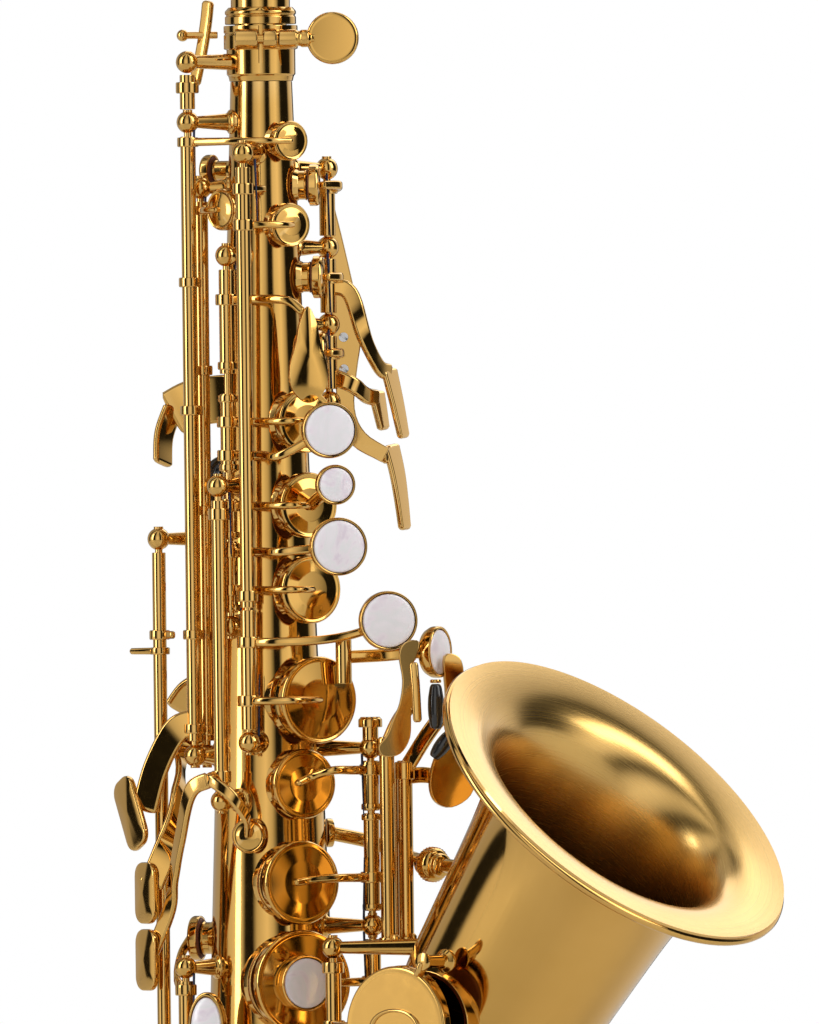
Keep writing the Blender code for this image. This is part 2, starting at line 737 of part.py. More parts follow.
def thumb_rest():
    theta = -96
    low = body_radius(222)
    place = frame_at(around(theta, low + 0.35, 222), facing(theta))
    piece("thumb_rest", [turned([(0, 0), (5.6, 0), (5.6, 2.0), (6.6, 2.6), (6.6, 4.2), (5.4, 5.2),
                                 (0, 5.8)], place, 20)],
          "black")


def bell_brace():
    """A bent stay behind the key stack, from a disc on the body to a knurled nut and a foot on the bell."""
    low = 126.0
    start = around(142, body_radius(134) + 0.35, 134)
    end = Vector((61.2, 10.0, low - 1.5))
    nut = Vector((39.6, 15.2, low))
    heading = (end - nut).normalized()
    bend = [start + facing(142) * 0.8, Vector((17.0, 19.6, 131.5)), Vector((28.5, 19.8, 127.8)), nut]
    shapes = [rod(start, start + facing(142) * 1.6, 3.6, 12)]
    for one, two in zip(bend, bend[1:]):
        shapes += [rod(one, two, 1.8, 8), ball(two, 1.8, 8, 5)]
    shapes += [
        rod(nut, end, 1.8, 10), rod(nut - heading * 2.2, nut + heading * 2.2, 4.2, 14),
        rod(nut - heading * 4.6, nut + heading * 4.6, 2.9, 12),
    ]
    piece("bell_brace", shapes)


def bell_key_guard():
    """The shield over the lowest bell key, on two feet that stand beside its cup."""
    seat = bell_seat("low_b_flat")
    z, cup = BELL_HOLES["low_b_flat"]
    face = seat + Vector((0, -CUP_HEIGHT - 6.6, 0))
    place = frame_at(face, Vector((0, -1, 0)))
    shield = turned([(cup - 0.4, 0), (cup, 0.7), (cup - 0.4, 1.4)], place, 28)
    shapes = [shield]
    for turn in (62, -62):
        out = Vector((math.cos(math.radians(turn)), 0, math.sin(math.radians(turn))))
        top = face + out * (cup - 1) + Vector((0, -0.55, 0))
        side = face + out * (cup + 3.2) + Vector((0, -0.3, 0))
        x, radius = bell_radius_at(side.z)
        reach = abs(side.x - x)
        depth = math.sqrt(max(radius**2 - reach**2, 1.0)) + 2.8
        low = Vector((side.x, -depth, side.z))
        shapes.append(strap([top, side + Vector((0, -0.2, 0))], 3.4, 1.4, out.cross(Vector((0, 1, 0)))))
        shapes.append(rod(side + Vector((0, -0.6, 0)), low, 1.6, 10))
    piece("bell_key_guard", shapes)


# ---------------------------------------------------------------- keys


def pearl_in(name, pivot, centre, normal, radius, tall=1.0):
    """A pearl disc that sits in the ring which pearl_ring makes at the same place."""
    place = frame_at(centre, normal) @ Matrix.Diagonal((1, tall, 1, 1))
    low = 0.9 + GAP
    inner = radius - 0.75
    piece(name, [turned([(0, low), (inner, low), (inner, 1.9), (inner - 0.8, 2.3), (0, 2.4)], place, 14)],
          "pearl", parent=pivot)


def pearl_ring(centre, normal, radius, tall=1.0, depth=1.8):
    place = frame_at(centre, normal) @ Matrix.Diagonal((1, tall, 1, 1))
    inner = radius - 0.45
    profile = [(0, -depth), (radius - 0.8, -depth), (radius, 0), (radius, 1.9), (inner, 1.9),
               (inner, 0.9), (0, 0.9)]
    return turned(profile, place, 14)


STACK_OPEN = -9.0


def left_stack():
    pearl_normal = facing(60)
    line = LINE_LEFT_STACK
    keys = (
        ("b_key", "b", 224.4, 244, 228.6, (75, 29.5, 234.6), 7.0),
        ("bis_key", "bis", 207.6, 217.8, None, (78, 29.5, 221), 5.0),
        ("a_key", "a", 189.4, 207.2, 204.5, (80, 29.0, 205.6), 7.25),
    )
    for name, hole, low, high, touch_z, touch, size in keys:
        pivot = hinge(name, around(*line, (low + high) / 2), STACK_OPEN)
        theta, z, cup, height = HOLES[hole]
        centre = around(*touch)
        shapes = [hinge_tube(line, low, high), collar(line, z), cup_over(hole)]
        shapes.append(arm_to(hole, line, z, (21, 15.4, z), (39, 17.6, z), (55, 21.6, z), (66, 21.7, z)))
        under = centre - pearl_normal * 1.1
        if touch_z:
            places = [(line[0], line[1], touch_z), (21, 15.4, touch_z), (38, 18.0, touch_z),
                      (52, 24.4, touch_z)]
            path = smooth_path([around(*place) for place in places] + [under], ARM_STEPS)
            shapes += [strap(path, 2.2, 1.6), collar(line, touch_z)]
        else:
            shapes.append(rod(around(*crown_of(hole)), under, 1.6, 8))
        shapes.append(pearl_ring(centre, pearl_normal, size))
        piece(name, shapes, parent=pivot)
        pearl_in("pearl_" + name[:-4], pivot, centre, pearl_normal, size)


def front_f_key():
    line = LINE_LEFT_STACK
    pivot = hinge("front_f_key", around(*line, 262))
    path = arc_path([(4, 16.3, 267.5), (20, 15.4, 267.5), (38, 17.4, 267.5), (54, 22.0, 267.0),
                     (62, 24.6, 264.0)])
    leaf = frame_at(around(64, 24.6, 253.5), facing(55))
    shapes = [hinge_tube(line, 249, 275), collar(line, 267.5), strap(path, 2.2, 1.8)]
    shapes.append(turned([(0, 0), (5.0, 0), (4.6, 1.5), (0, 2.0)], leaf @ Matrix.Diagonal((1, 2.4, 1, 1)),
                         18))
    piece("front_f_key", shapes, parent=pivot)


def g_key():
    line = LINE_G
    pivot = hinge("g_key", around(*line, 175), STACK_OPEN)
    normal = facing(60)
    centre = around(99, 34, 187)
    shapes = [hinge_tube(line, 160.2, 190), collar(line, 182, 2.9), collar(line, 167.4)]
    shapes.append(cup_over("g", 16))
    shapes.append(arm_to("g", line, 167.4, (36, 24.2, 167.4), (54, 25.4, 167.4), (66, 22.6, 167.4)))
    path = smooth_path([around(25, 21, 182), around(45, 24.0, 182), around(70, 26.5, 182.4),
                        around(88, 29.5, 184),
                        centre - normal * 1.4])
    shapes.append(strap(path, 2.2, 1.6))
    shapes.append(pearl_ring(centre, normal, 7.4))
    piece("g_key", shapes, parent=pivot)
    pearl_in("pearl_g", pivot, centre, normal, 7.4)


def right_stack():
    line = LINE_RIGHT_STACK
    keys = (
        ("g_sharp_key", "g_sharp", 139.6, 152.1, 149.8, 0.0, None),
        ("f_sharp_key", "f_sharp", 114.6, 139.0, 123.0, -STACK_OPEN, None),
        ("f_key", "f", 83.0, 107.6, 97.0, -STACK_OPEN, 7.0),
        ("e_key", "e", 53.0, 82.4, 68.0, -STACK_OPEN, 7.0),
        ("d_key", "d", 25.0, 52.4, 38.0, -STACK_OPEN, 7.0),
    )
    for name, hole, low, high, arm_z, opened, touch in keys:
        pivot = hinge(name, around(*line, (low + high) / 2), opened)
        theta, z, cup, height = HOLES[hole]
        top = seat_radius(hole) + CUP_HEIGHT
        shapes = [hinge_tube(line, low, high), collar(line, arm_z), cup_over(hole, 16)]
        shapes.append(arm([(103, 28, arm_z), (90, 26.6, arm_z), (78, 24.6, arm_z),
                           (theta + 4, top + 0.3, (arm_z + z) / 2),
                           (theta - 8, top + 0.5, z)], 2.4, 1.7))
        if touch:
            centre = around(theta, top + 0.8, z) + facing(theta + 90) * -0.8
            shapes.append(pearl_ring(centre, facing(theta), touch, depth=1.4))
        piece(name, shapes, parent=pivot)
        if touch:
            pearl_in("pearl_" + name[:-4], pivot, centre, facing(theta), touch)


def palm_keys():
    """Three keys for the left palm, on one line behind the body's right edge."""
    view, right = facing(38), facing(128)

    def at(u, d, z):
        return right * u + view * d + Vector((0, 0, z))

    def blade(points, width=8.5):
        return strap(smooth_path(points), width, 1.6, view)

    line = LINE_PALM
    keys = (
        ("palm_f_key", "palm_f", 283.4, 297.0, 295.5),
        ("palm_e_flat_key", "palm_e_flat", 264.1, 277.6, 273.0),
        ("palm_d_key", "palm_d", 245.0, 258.3, 254.0),
    )
    for name, hole, low, high, arm_z in keys:
        pivot = hinge(name, around(*line, (low + high) / 2))
        theta, z, cup, height = HOLES[hole]
        shapes = [hinge_tube(line, low, high), cup_over(hole, 12)]
        shapes.append(arm_to(hole, line, arm_z, (147, 19.6, arm_z), (136, 19.0, z), width=2.8))
        if name == "palm_f_key":
            depth = -13.6
            left = [(14.6, 292), (15.4, 280), (16.4, 268), (17.0, 256), (17.6, 246), (18.6, 238),
                    (21.5, 231), (29.0, 226.5)]
            edge = [(17.6, 292), (20.2, 281), (23.4, 266), (24.4, 259), (23.0, 249), (22.4, 240),
                    (25.0, 234), (31.0, 230)]
            rings = []
            for (u1, z1), (u2, z2) in zip(left, edge):
                rings.append([at(u1, depth + 0.75, z1), at(u2, depth + 0.75, z2), at(u2, depth - 0.75, z2),
                              at(u1, depth - 0.75, z1)])
            shapes.append(shape_of_rings(rings))
            shapes.append(rod(around(*line, 286.5), at(16.6, depth, 286.5), 1.4, 8))
            shapes.append(rod(around(*line, 291.0), at(16.4, depth, 290.0), 1.4, 8))
            shapes.append(strap([at(29.4, depth, 228.3), at(31.5, -18.0, 228.8)], 4.4, 1.8))
            shapes.append(blade([at(31.2, -18, 231), at(32.8, -18, 224), at(33.8, -18, 217),
                                 at(34.6, -18, 209.5)], 9.0))
        elif name == "palm_e_flat_key":
            path = [around(*line, 271), at(21.5, -8.6, 269), at(25, -9.4, 258), at(28.6, -14.0, 250.5),
                    at(31.4, -18.5, 249.0)]
            shapes.append(strap(smooth_path(path), 4.2, 1.7))
            shapes.append(blade([at(31.0, -18.5, 250), at(33.0, -18.5, 241), at(34.6, -18.5, 232.5)]))
        else:
            path = [around(*line, 248.5), at(22, -8.6, 246), at(25.2, -12.2, 243.4), at(28.2, -18.0, 242.6)]
            shapes.append(strap(smooth_path(path), 4.2, 1.7))
            shapes.append(blade([at(27.8, -18.5, 244.4), at(28.8, -18.5, 239), at(29.6, -18.5, 234.6)]))
        piece(name, shapes, parent=pivot)


def paddle(u, d, z, width=9.0, height=15.4, normal=-20, lean=0.0):
    """A touch plate for the side of the right hand."""
    centre = facing(128) * u + facing(38) * d + Vector((0, 0, z))
    place = frame_at(centre, facing(normal), Vector((lean, 0, 1)))
    return plate(place, width, height, 1.6, corner=0.36)


def side_keys():
    line = LINE_E
    pivot = hinge("high_e_key", around(*line, 230))
    shapes = [hinge_tube(line, 157.4, 308.4, 1.9), cup_over("high_e", 10)]
    shapes.append(arm_to("high_e", line, 307.0, (-12, 16.4, 307), (15, 15.6, 307), (45, 15.4, 307)))
    shapes.append(strap(smooth_path([around(-33, 19.5, 162), around(-38, 24, 160), around(-44, 28.5, 151),
                                     around(-47, 31.5, 140)]), 6.8, 1.7))
    shapes.append(paddle(-34.0, 0.6, 139.5, 9.0, 19.0, normal=-20, lean=-0.55))
    shapes.append(collar(line, 184.0, 2.7, 2.2))
    piece("high_e_key", shapes, parent=pivot)

    line = LINE_SIDE_C
    pivot = hinge("side_c_key", around(*line, 220))
    shapes = [hinge_tube(line, 157.4, 292.2, 1.8), cup_over("side_c", 10)]
    shapes.append(arm_to("side_c", line, 290, (-38, 15.4, 290), (-24, 15.4, 290)))
    shapes.append(strap(smooth_path([around(-50, 15.5, 160.2), around(-57, 21.4, 156.5),
                                     around(-50, 22.6, 145),
                                     around(-42, 25.5, 133), around(-43.5, 30.4, 121)]), 6.4, 1.7))
    shapes.append(paddle(-30.4, 4.2, 119.6))
    piece("side_c_key", shapes, parent=pivot)

    line = LINE_SIDE_B_FLAT
    pivot = hinge("side_b_flat_key", around(*line, 180))
    shapes = [hinge_tube(line, 146.2, 217.4, 1.8), cup_over("side_b_flat", 10), collar(line, 214, 2.6, 3.0)]
    shapes.append(strap(smooth_path([around(5.5, 22, 148.4), around(4, 26.4, 148.0),
                                     around(16, 26.6, 144.5),
                                     around(24, 24.0, 138.5), around(*crown_of("side_b_flat"))]), 3.0, 1.5))
    shapes.append(strap(smooth_path([around(4, 26.4, 148.0), around(-8, 27.2, 145),
                                     around(-18, 26.8, 134), around(-26, 26.6, 125), around(-32, 26.8, 116),
                                     around(-43.5, 30.4, 104)]), 4.2, 1.7))
    shapes.append(paddle(-30.4, 4.2, 102.9))
    piece("side_b_flat_key", shapes, parent=pivot)


def high_f_sharp_keys():
    line = LINE_F_SHARP
    pivot = hinge("high_f_sharp_lever", around(*line, 130))
    shapes = [hinge_tube(line, 64.4, 204.6, 1.7), collar(line, 184, 2.6, 2.4), collar(line, 180, 2.5, 1.8)]
    shapes.append(arm([(-52, 27, 184), (-46, 25.4, 184), (-38, 24.2, 184)], 2.2, 1.5))
    shapes.append(arm([(-52, 27, 180), (-54, 31, 180), (-56, 34.5, 180)], 1.8, 2.4))
    shapes.append(paddle(-32.4, -5.0, 76.0, 8.0, 13.0))
    shapes.append(strap([around(-52, 27, 76), around(-61.0, 33.4, 76)], 4.0, 1.7))
    piece("high_f_sharp_lever", shapes, parent=pivot)

    line = LINE_G
    pivot = hinge("high_f_sharp_key", around(*line, 245))
    shapes = [hinge_tube(line, 190.6, 300.4, 1.9), collar(line, 286, 2.7), collar(line, 295, 2.7),
              collar(line, 193.5, 2.7)]
    shapes.append(arm_to("high_f_sharp", line, 286, (38, 20.2, 286), (54, 18.6, 286)))
    shapes.append(cup_over("high_f_sharp", 10))
    shapes.append(arm([(25, 21, 295), (34, 17.5, 295), (40, 15.0, 295)], 2.0, 1.5))
    piece("high_f_sharp_key", shapes, parent=pivot)


def octave_keys():
    line = LINE_OCTAVE
    pivot = hinge("octave_lever", around(*line, 245))
    blade = smooth_path([around(-122, 15.5, 243), around(-112, 20.5, 243), around(-100, 26.5, 242),
                         around(-92, 31.0, 239)])
    tip = smooth_path([around(-93, 30.6, 241), around(-88, 31.6, 234), around(-84, 30.6, 226.5)])
    shapes = [hinge_tube(line, 232.0, 262.0), strap(blade, 12.0, 1.7), strap(tip, 1.7, 7.0, facing(-88))]
    piece("octave_lever", shapes, parent=pivot)

    pivot = hinge("body_octave_key", around(*line, 285))
    shapes = [hinge_tube(line, 262.4, 305.4), cup_over("body_octave", 14)]
    shapes.append(arm_to("body_octave", line, 300, (-114, 18.0, 300), (-100, 18.8, 300), (-90, 18.4, 300)))
    piece("body_octave_key", shapes, parent=pivot)


def trill_key():
    line = LINE_TRILL
    pivot = hinge("f_sharp_trill_key", around(*line, 84))
    shapes = [hinge_tube(line, 69.4, 97.6, 1.9), collar(line, 95.4, 2.7), cup_over("trill", 10)]
    shapes.append(strap(smooth_path([around(-25, 24, 95.4), around(-38, 24.4, 98), around(-54, 22.8, 103.5),
                                     around(*crown_of("trill"))]), 2.6, 1.5))
    centre = around(0, 25.4, 86)
    shapes.append(strap(smooth_path([around(-25, 24, 84), around(-12, 25.2, 84),
                                     centre - facing(12) * 0.5]), 3.0, 1.5))
    shapes.append(pearl_ring(centre, facing(12), 5.0, 1.8))
    piece("f_sharp_trill_key", shapes, parent=pivot)
    pearl_in("pearl_trill", pivot, centre, facing(12), 5.0, 1.8)


def little_finger_table():
    """The left little finger's four levers; each long one drives a key on the bell."""
    view, right = facing(38), facing(128)

    def at(u, d, z):
        return right * u + view * d + Vector((0, 0, z))

    pivot = hinge("g_sharp_lever", around(86, 25.5, 177))
    centre = at(41.5, 15.5, 179)
    shapes = [hinge_tube((86, 25.5), 171.4, 182.6), pearl_ring(centre, facing(88), 5.6, 1.15)]
    shapes.append(strap(smooth_path([around(86, 25.5, 178), at(29, 13.5, 178.4), at(36, 14.6, 179),
                                     centre - facing(88) * 0.6]),
                        3.2, 1.6))
    piece("g_sharp_lever", shapes, parent=pivot)
    pearl_in("pearl_g_sharp", pivot, centre, facing(88), 5.6, 1.15)

    levers = (
        ("low_c_sharp_lever", LEVER_C_SHARP, 104.5, 158.0, (35.2, 20.6, 166.0), 8.5, 15.0, 62),
        ("low_b_lever", LEVER_B, 104.5, 152.0, (47.2, 17.0, 168.0), 7.5, 13.0, 66),
        ("low_b_flat_lever", LEVER_B_FLAT, 104.5, 150.0, (45.3, 14.0, 147.2), 12.0, 14.0, 66),
    )
    for name, line, low, high, (u, d, z), width, height, normal in levers:
        pivot = hinge(name, around(*line, (low + high) / 2))
        place = frame_at(at(u, d, z), facing(normal))
        shapes = [hinge_tube(line, low, high, 1.9), plate(place, width, height, 1.7, corner=0.34)]
        start = around(*line, high - 2.5)
        shapes.append(strap(smooth_path([start, start.lerp(at(u, d, z), 0.5) + Vector((0, 0, 1)),
                                         at(u, d, z) + facing(normal) * 0.6]), 4.0, 1.7))
        foot = around(*line, low + 3)
        shapes.append(strap([foot, foot + facing(75) * 3.6], 3.0, 1.6))
        piece(name, shapes, parent=pivot)


def bell_keys():
    spans = {"low_c_sharp": (9.4, 27.4, 0.0), "low_b": (33.8, 61.3, -8.0),
             "low_b_flat": (68.0, 102.4, -7.0)}
    for hole, (low, high, opened) in spans.items():
        z, cup = BELL_HOLES[hole]
        seat = bell_seat(hole)
        middle = BELL_LINE + Vector((0, 0, (low + high) / 2))
        pivot = hinge(hole + "_key", middle, opened)
        line_z = BELL_LINE + Vector((0, 0, z))
        crown = seat + Vector((0, -CUP_HEIGHT - 0.3, 0))
        edge = Vector((seat.x - cup - 0.5, seat.y - CUP_HEIGHT - 0.9, z))
        shapes = [
            rod(BELL_LINE + Vector((0, 0, low)), BELL_LINE + Vector((0, 0, high)), TUBE, 8),
            cup_at(seat, Vector((0, -1, 0)), cup, segments=20),
            strap(smooth_path([line_z, line_z.lerp(edge, 0.5) + Vector((0, -2.0, 0)),
                               edge + Vector((1.2, -0.6, 0)),
                               crown]), 3.4, 1.8),
        ]
        piece(hole + "_key", shapes, parent=pivot)


def right_little_finger_keys():
    line = LINE_E_FLAT
    pivot = hinge("low_e_flat_key", around(*line, 30))
    touch = frame_at(around(-20, 31.0, 43), facing(-12))
    shapes = [hinge_tube(line, 12.4, 49.6), cup_over("e_flat", 20), plate(touch, 13, 8.0, 1.7, corner=0.28)]
    shapes.append(arm_to("e_flat", line, 24, (-52, 27.4, 24), (-66, 26.8, 24)))
    shapes.append(strap(smooth_path([around(*line, 43), around(-32, 29.6, 43), around(-22, 31.4, 43)]),
                        4.0, 1.8))
    piece("low_e_flat_key", shapes, parent=pivot)

    line = LINE_LOW_C
    pivot = hinge("low_c_key", around(*line, 20), -8.0)
    touch = frame_at(around(-9, 31.0, 33.0), facing(-8))
    shapes = [hinge_tube(line, -22.0, 8.6), hinge_tube(line, 15.4, 43.6),
              plate(touch, 13, 8.0, 1.7, corner=0.28)]
    bridge = [around(*line, 17.4), around(-24, 29.4, 16.4), around(-24, 30.4, 12), around(-24, 29.4, 7.6),
              around(*line, 6.6)]
    shapes.append(strap(bridge, 2.6, 1.6, facing(66)))
    shapes.append(strap(smooth_path([around(*line, 33), around(-18, 29.6, 33), around(-9, 31.6, 33)]),
                        4.0, 1.8))
    shapes.append(cup_at(LOW_C_SEAT, Vector((0, -1, 0)), 13.2, segments=24))
    shapes.append(strap(smooth_path([around(*line, -19.5),
                                     LOW_C_SEAT + Vector((-14.5, -CUP_HEIGHT - 1.6, 0)),
                                     LOW_C_SEAT + Vector((0, -CUP_HEIGHT - 0.3, 0))]), 3.2, 1.8))
    piece("low_c_key", shapes, parent=pivot)


def rollers():
    """Two rollers between the touch plates, so that the little finger can slide from one to the next."""
    view, right, up = facing(38), facing(128), Vector((0, 0, 1))
    places = (
        ("upper_roller", (41.8, 22.6, 165.5), up * 5.6),
        ("lower_roller", (43.6, 19.6, 156.0), (right * 4.7 + up * 6.0).normalized() * 4.2),
    )
    for name, (u, d, z), half in places:
        centre = right * u + view * d + up * z
        pivot = hinge(name, centre)
        piece(name, [rod(centre - half, centre + half, 1.8, 12)], "black", parent=pivot)


def settle():
    """Moves everything so that the origin is the bottom centre of the instrument's box."""
    bpy.context.view_layer.update()
    low, high = Vector((math.inf,) * 3), Vector((-math.inf,) * 3)
    everything = list(bpy.context.scene.objects)
    for made in everything:
        if made.type == "MESH":
            for vertex in made.data.vertices:
                point = made.matrix_world @ vertex.co
                low = Vector(map(min, low, point))
                high = Vector(map(max, high, point))
    shift = -Vector(((low.x + high.x) / 2, (low.y + high.y) / 2, low.z))
    for made in everything:
        if made.parent:
            continue
        if made.type == "MESH":
            made.data.transform(Matrix.Translation(shift))
        else:
            made.location += shift


def main():
    clear_scene()
    body_tube()
    bow()
    bell()
    rings()
    receiver()
    receiver_screw()
    octave_arm()
    neck()
    strap_ring()
    thumb_hook()
    thumb_rest()
    bell_brace()
    bell_key_guard()
    front_f_key()
    left_stack()
    g_key()
    right_stack()
    palm_keys()
    side_keys()
    high_f_sharp_keys()
    octave_keys()
    trill_key()
    little_finger_table()
    rollers()
    bell_keys()
    right_little_finger_keys()
    settle()


main()
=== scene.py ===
import json
import math

import bmesh
import bpy
from mathutils import Matrix, Vector


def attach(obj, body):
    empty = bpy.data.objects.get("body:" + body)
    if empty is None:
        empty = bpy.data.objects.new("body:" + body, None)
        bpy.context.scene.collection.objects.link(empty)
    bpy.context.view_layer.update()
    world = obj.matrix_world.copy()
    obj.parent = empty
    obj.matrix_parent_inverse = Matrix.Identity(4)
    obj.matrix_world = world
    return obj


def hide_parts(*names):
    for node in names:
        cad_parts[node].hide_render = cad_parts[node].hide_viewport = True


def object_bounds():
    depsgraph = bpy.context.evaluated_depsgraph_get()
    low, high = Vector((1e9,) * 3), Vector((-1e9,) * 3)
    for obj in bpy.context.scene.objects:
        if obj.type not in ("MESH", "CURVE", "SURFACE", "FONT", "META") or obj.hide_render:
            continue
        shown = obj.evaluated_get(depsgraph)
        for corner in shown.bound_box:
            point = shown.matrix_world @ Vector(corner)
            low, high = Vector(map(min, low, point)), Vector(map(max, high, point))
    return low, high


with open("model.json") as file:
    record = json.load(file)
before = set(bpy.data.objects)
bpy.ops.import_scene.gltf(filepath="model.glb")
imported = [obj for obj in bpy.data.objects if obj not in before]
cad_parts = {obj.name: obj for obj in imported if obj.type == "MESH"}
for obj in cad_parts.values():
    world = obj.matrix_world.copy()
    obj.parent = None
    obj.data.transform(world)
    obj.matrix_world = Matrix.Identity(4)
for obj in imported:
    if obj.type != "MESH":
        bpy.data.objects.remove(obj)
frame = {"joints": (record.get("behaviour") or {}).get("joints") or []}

START_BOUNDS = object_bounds()
METRE = 0.001
JOINTS = {joint["child"]: joint for joint in frame["joints"]}
UP, ACROSS, FRONT = Vector((0, 0, 1)), Vector((0, 1, 0)), Vector((0, -1, 0))
HERE = Matrix.Identity(4)

# Driving dimensions in mm, from the middle of the body tube's lower end, the same as the solids'
NECK_TOP = 336.0
OFFSET = Vector(JOINTS["neck"]["pos_m"]) / METRE - UP * NECK_TOP
BODY_RADIUS = 18.5
BODY_TAPER = 0.0335
BODY_TOP = 322.0
WALL = 0.8
BELL_X = 59.0
BOW_RADIUS = BELL_X / 2
BELL_TUBE_RADIUS = 22.0
BELL_STRAIGHT = 45.0
RIM_CENTRE = Vector((109.0, 0.0, 142.0))
RIM_RADIUS = 49.2
RIM_TILT = math.radians(44)
RIM_HEADING = Vector((math.sin(RIM_TILT), 0, math.cos(RIM_TILT)))
GAP = 0.3
CHIMNEY = 2.6
CHIMNEY_WALL = 0.9
CUP_OVERHANG = 1.6
CUP_HEIGHT = 3.4
TUBE = 2.0
BALL = 2.8
PIVOT = 0.95
ARM_STEPS = 7
SHARP_EDGE = math.radians(38)


def body_radius(z):
    return BODY_RADIUS - BODY_TAPER * z


def around(theta, radius, z):
    """A place by its azimuth, distance and height about the body's axis."""
    turn = math.radians(theta)
    return Vector((radius * math.sin(turn), -radius * math.cos(turn), z))


def facing(theta):
    return around(theta, 1, 0)


VIEW, RIGHT = facing(38), facing(128)


def at(u, d, z):
    """A place by its distance to the right of, and in front of, the body's axis as seen from azimuth 38."""
    return RIGHT * u + VIEW * d + UP * z


def frame_at(origin, normal, up=UP):
    z_axis = normal.normalized()
    x_axis = up.cross(z_axis).normalized()
    y_axis = z_axis.cross(x_axis)
    return Matrix.Translation(origin) @ Matrix((x_axis, y_axis, z_axis)).transposed().to_4x4()


def along(start, end):
    """A frame whose Z runs from start to end."""
    heading = (end - start).normalized()
    return frame_at(start, heading, Vector((0.31, 0.95, 0.12)) if abs(heading.z) > 0.9 else UP)


# ---------------------------------------------------------------- shapes: (points, faces, material index)


def shape_of_rings(rings, loop=False):
    """A skin over rings of points; a ring of one point is a tip."""
    points, faces, starts = [], [], []
    for ring in rings:
        starts.append(len(points))
        points.extend(ring)
    pairs = list(zip(range(len(rings)), range(1, len(rings))))
    if loop:
        pairs.append((len(rings) - 1, 0))
    for one, two in pairs:
        a, b = len(rings[one]), len(rings[two])
        for i in range(max(a, b)):
            j = (i + 1) % max(a, b)
            corners = [starts[one] + i % a, starts[one] + j % a, starts[two] + j % b, starts[two] + i % b]
            faces.append(tuple(dict.fromkeys(corners)))
    if not loop:
        for k in (0, len(rings) - 1):
            if len(rings[k]) > 2:
                faces.append(tuple(range(starts[k], starts[k] + len(rings[k]))))
    return points, faces, 0


def eased(profile, size, loop):
    """Rounds the corners of a (radius, height) profile."""
    made = []
    count = len(profile)
    for i, here in enumerate(profile):
        before, after, here = Vector(profile[i - 1]), Vector(profile[(i + 1) % count]), Vector(here)
        back, ahead = before - here, after - here
        cut = min(size, 0.42 * back.length, 0.42 * ahead.length)
        if (not loop and i in (0, count - 1)) or cut < 0.02:
            made.append(profile[i])
            continue
        one, two = here + back.normalized() * cut, here + ahead.normalized() * cut
        made += [tuple(one), tuple((one + two) / 4 + here / 2), tuple(two)]
    return made


def turned(profile, place, segments=40, loop=False, ease=0.25):
    """A profile turned about a frame's Z; a looped profile makes a tube or a ring."""
    rings = []
    for radius, height in eased(profile, ease, loop) if ease else profile:
        if abs(radius) < 1e-6:
            rings.append([place @ Vector((0, 0, height))])
            continue
        turns = [math.tau * i / segments for i in range(segments)]
        rings.append([place @ Vector((radius * math.cos(turn), radius * math.sin(turn),
                                      height)) for turn in turns])
    return shape_of_rings(rings, loop)


def circle(radius, height, size, count):
    """The looped profile of a round wire."""
    turns = [math.tau * i / count for i in range(count)]
    return [(radius + size * math.cos(turn), size * math.sin(turn) + height) for turn in turns]


def rod(start, end, radius, segments=22, tip=None, ease=0.3):
    length = (end - start).length
    profile = [(0, 0), (radius, 0), (radius if tip is None else tip, length), (0, length)]
    return turned(profile, along(start, end), segments, ease=ease)


def ball(centre, radius, rings=16):
    turns = [math.pi * i / rings for i in range(1, rings)]
    profile = [(radius * math.sin(turn), -radius * math.cos(turn)) for turn in turns]
    return turned([(0, -radius), *profile, (0, radius)], Matrix.Translation(centre), 28, ease=0)


def rounded(width, height, cut, steps):
    """The outline of a rectangle with rounded corners."""
    outline = []
    for quarter, (sx, sy) in enumerate(((1, 1), (-1, 1), (-1, -1), (1, -1))):
        for step in range(steps + 1):
            turn = math.pi / 2 * (quarter + step / steps)
            x, y = sx * (width / 2 - cut), sy * (height / 2 - cut)
            outline.append((x + math.cos(turn) * cut, y + math.sin(turn) * cut))
    return outline


def strap(points, width, thickness, side=UP, taper=1.0, corner=0.45):
    """A rounded bar through the points; width is along side, and taper is the share left at its end."""
    first = (points[1] - points[0]).normalized()
    last = (points[-2] - points[-1]).normalized()
    ease = min(width, thickness) * 0.5
    path = [points[0], points[0] + first * ease * 0.3, points[0] + first * ease, *points[1:-1]]
    path += [points[-1] + last * ease, points[-1] + last * ease * 0.3, points[-1]]
    scales = [0.45, 0.8] + [1.0] * (len(points)) + [0.8, 0.45]
    section = rounded(thickness, width, corner * min(width, thickness), 3)
    total = len(path) - 1
    rings = []
    for i, point in enumerate(path):
        tangent = (path[min(i + 1, total)] - path[max(i - 1, 0)]).normalized()
        across = tangent.cross(side).normalized()
        up = across.cross(tangent).normalized()
        share = scales[i] * (1 + (taper - 1) * i / total)
        rings.append([point + across * a * scales[i] + up * b * share for a, b in section])
    return shape_of_rings(rings)


def curve(points, steps=ARM_STEPS, closed=False):
    """A smooth path through the points."""
    points = [point if isinstance(point, Vector) else Vector(point) for point in points]
    if closed:
        ends = [points[-1], *points, points[0], points[1]]
    else:
        ends = [2 * points[0] - points[1], *points, 2 * points[-1] - points[-2]]
    path = []
    for i in range(1, len(ends) - 2):
        p0, p1, p2, p3 = ends[i - 1 : i + 3]
        for step in range(steps):
            t = step / steps
            square, cube = (2 * p0 - 5 * p1 + 4 * p2 - p3) * t**2, (3 * p1 - p0 - 3 * p2 + p3) * t**3
            path.append(0.5 * (2 * p1 + (p2 - p0) * t + square + cube))
    return path if closed else path + [points[-1]]


def bent(places, width, thickness, side=UP, taper=1.0, corner=0.45):
    """A strap bent smoothly through places, each a point or a (theta, radius, z)."""
    points = [place if isinstance(place, Vector) else around(*place) for place in places]
    return strap(curve(points), width, thickness, side, taper, corner)


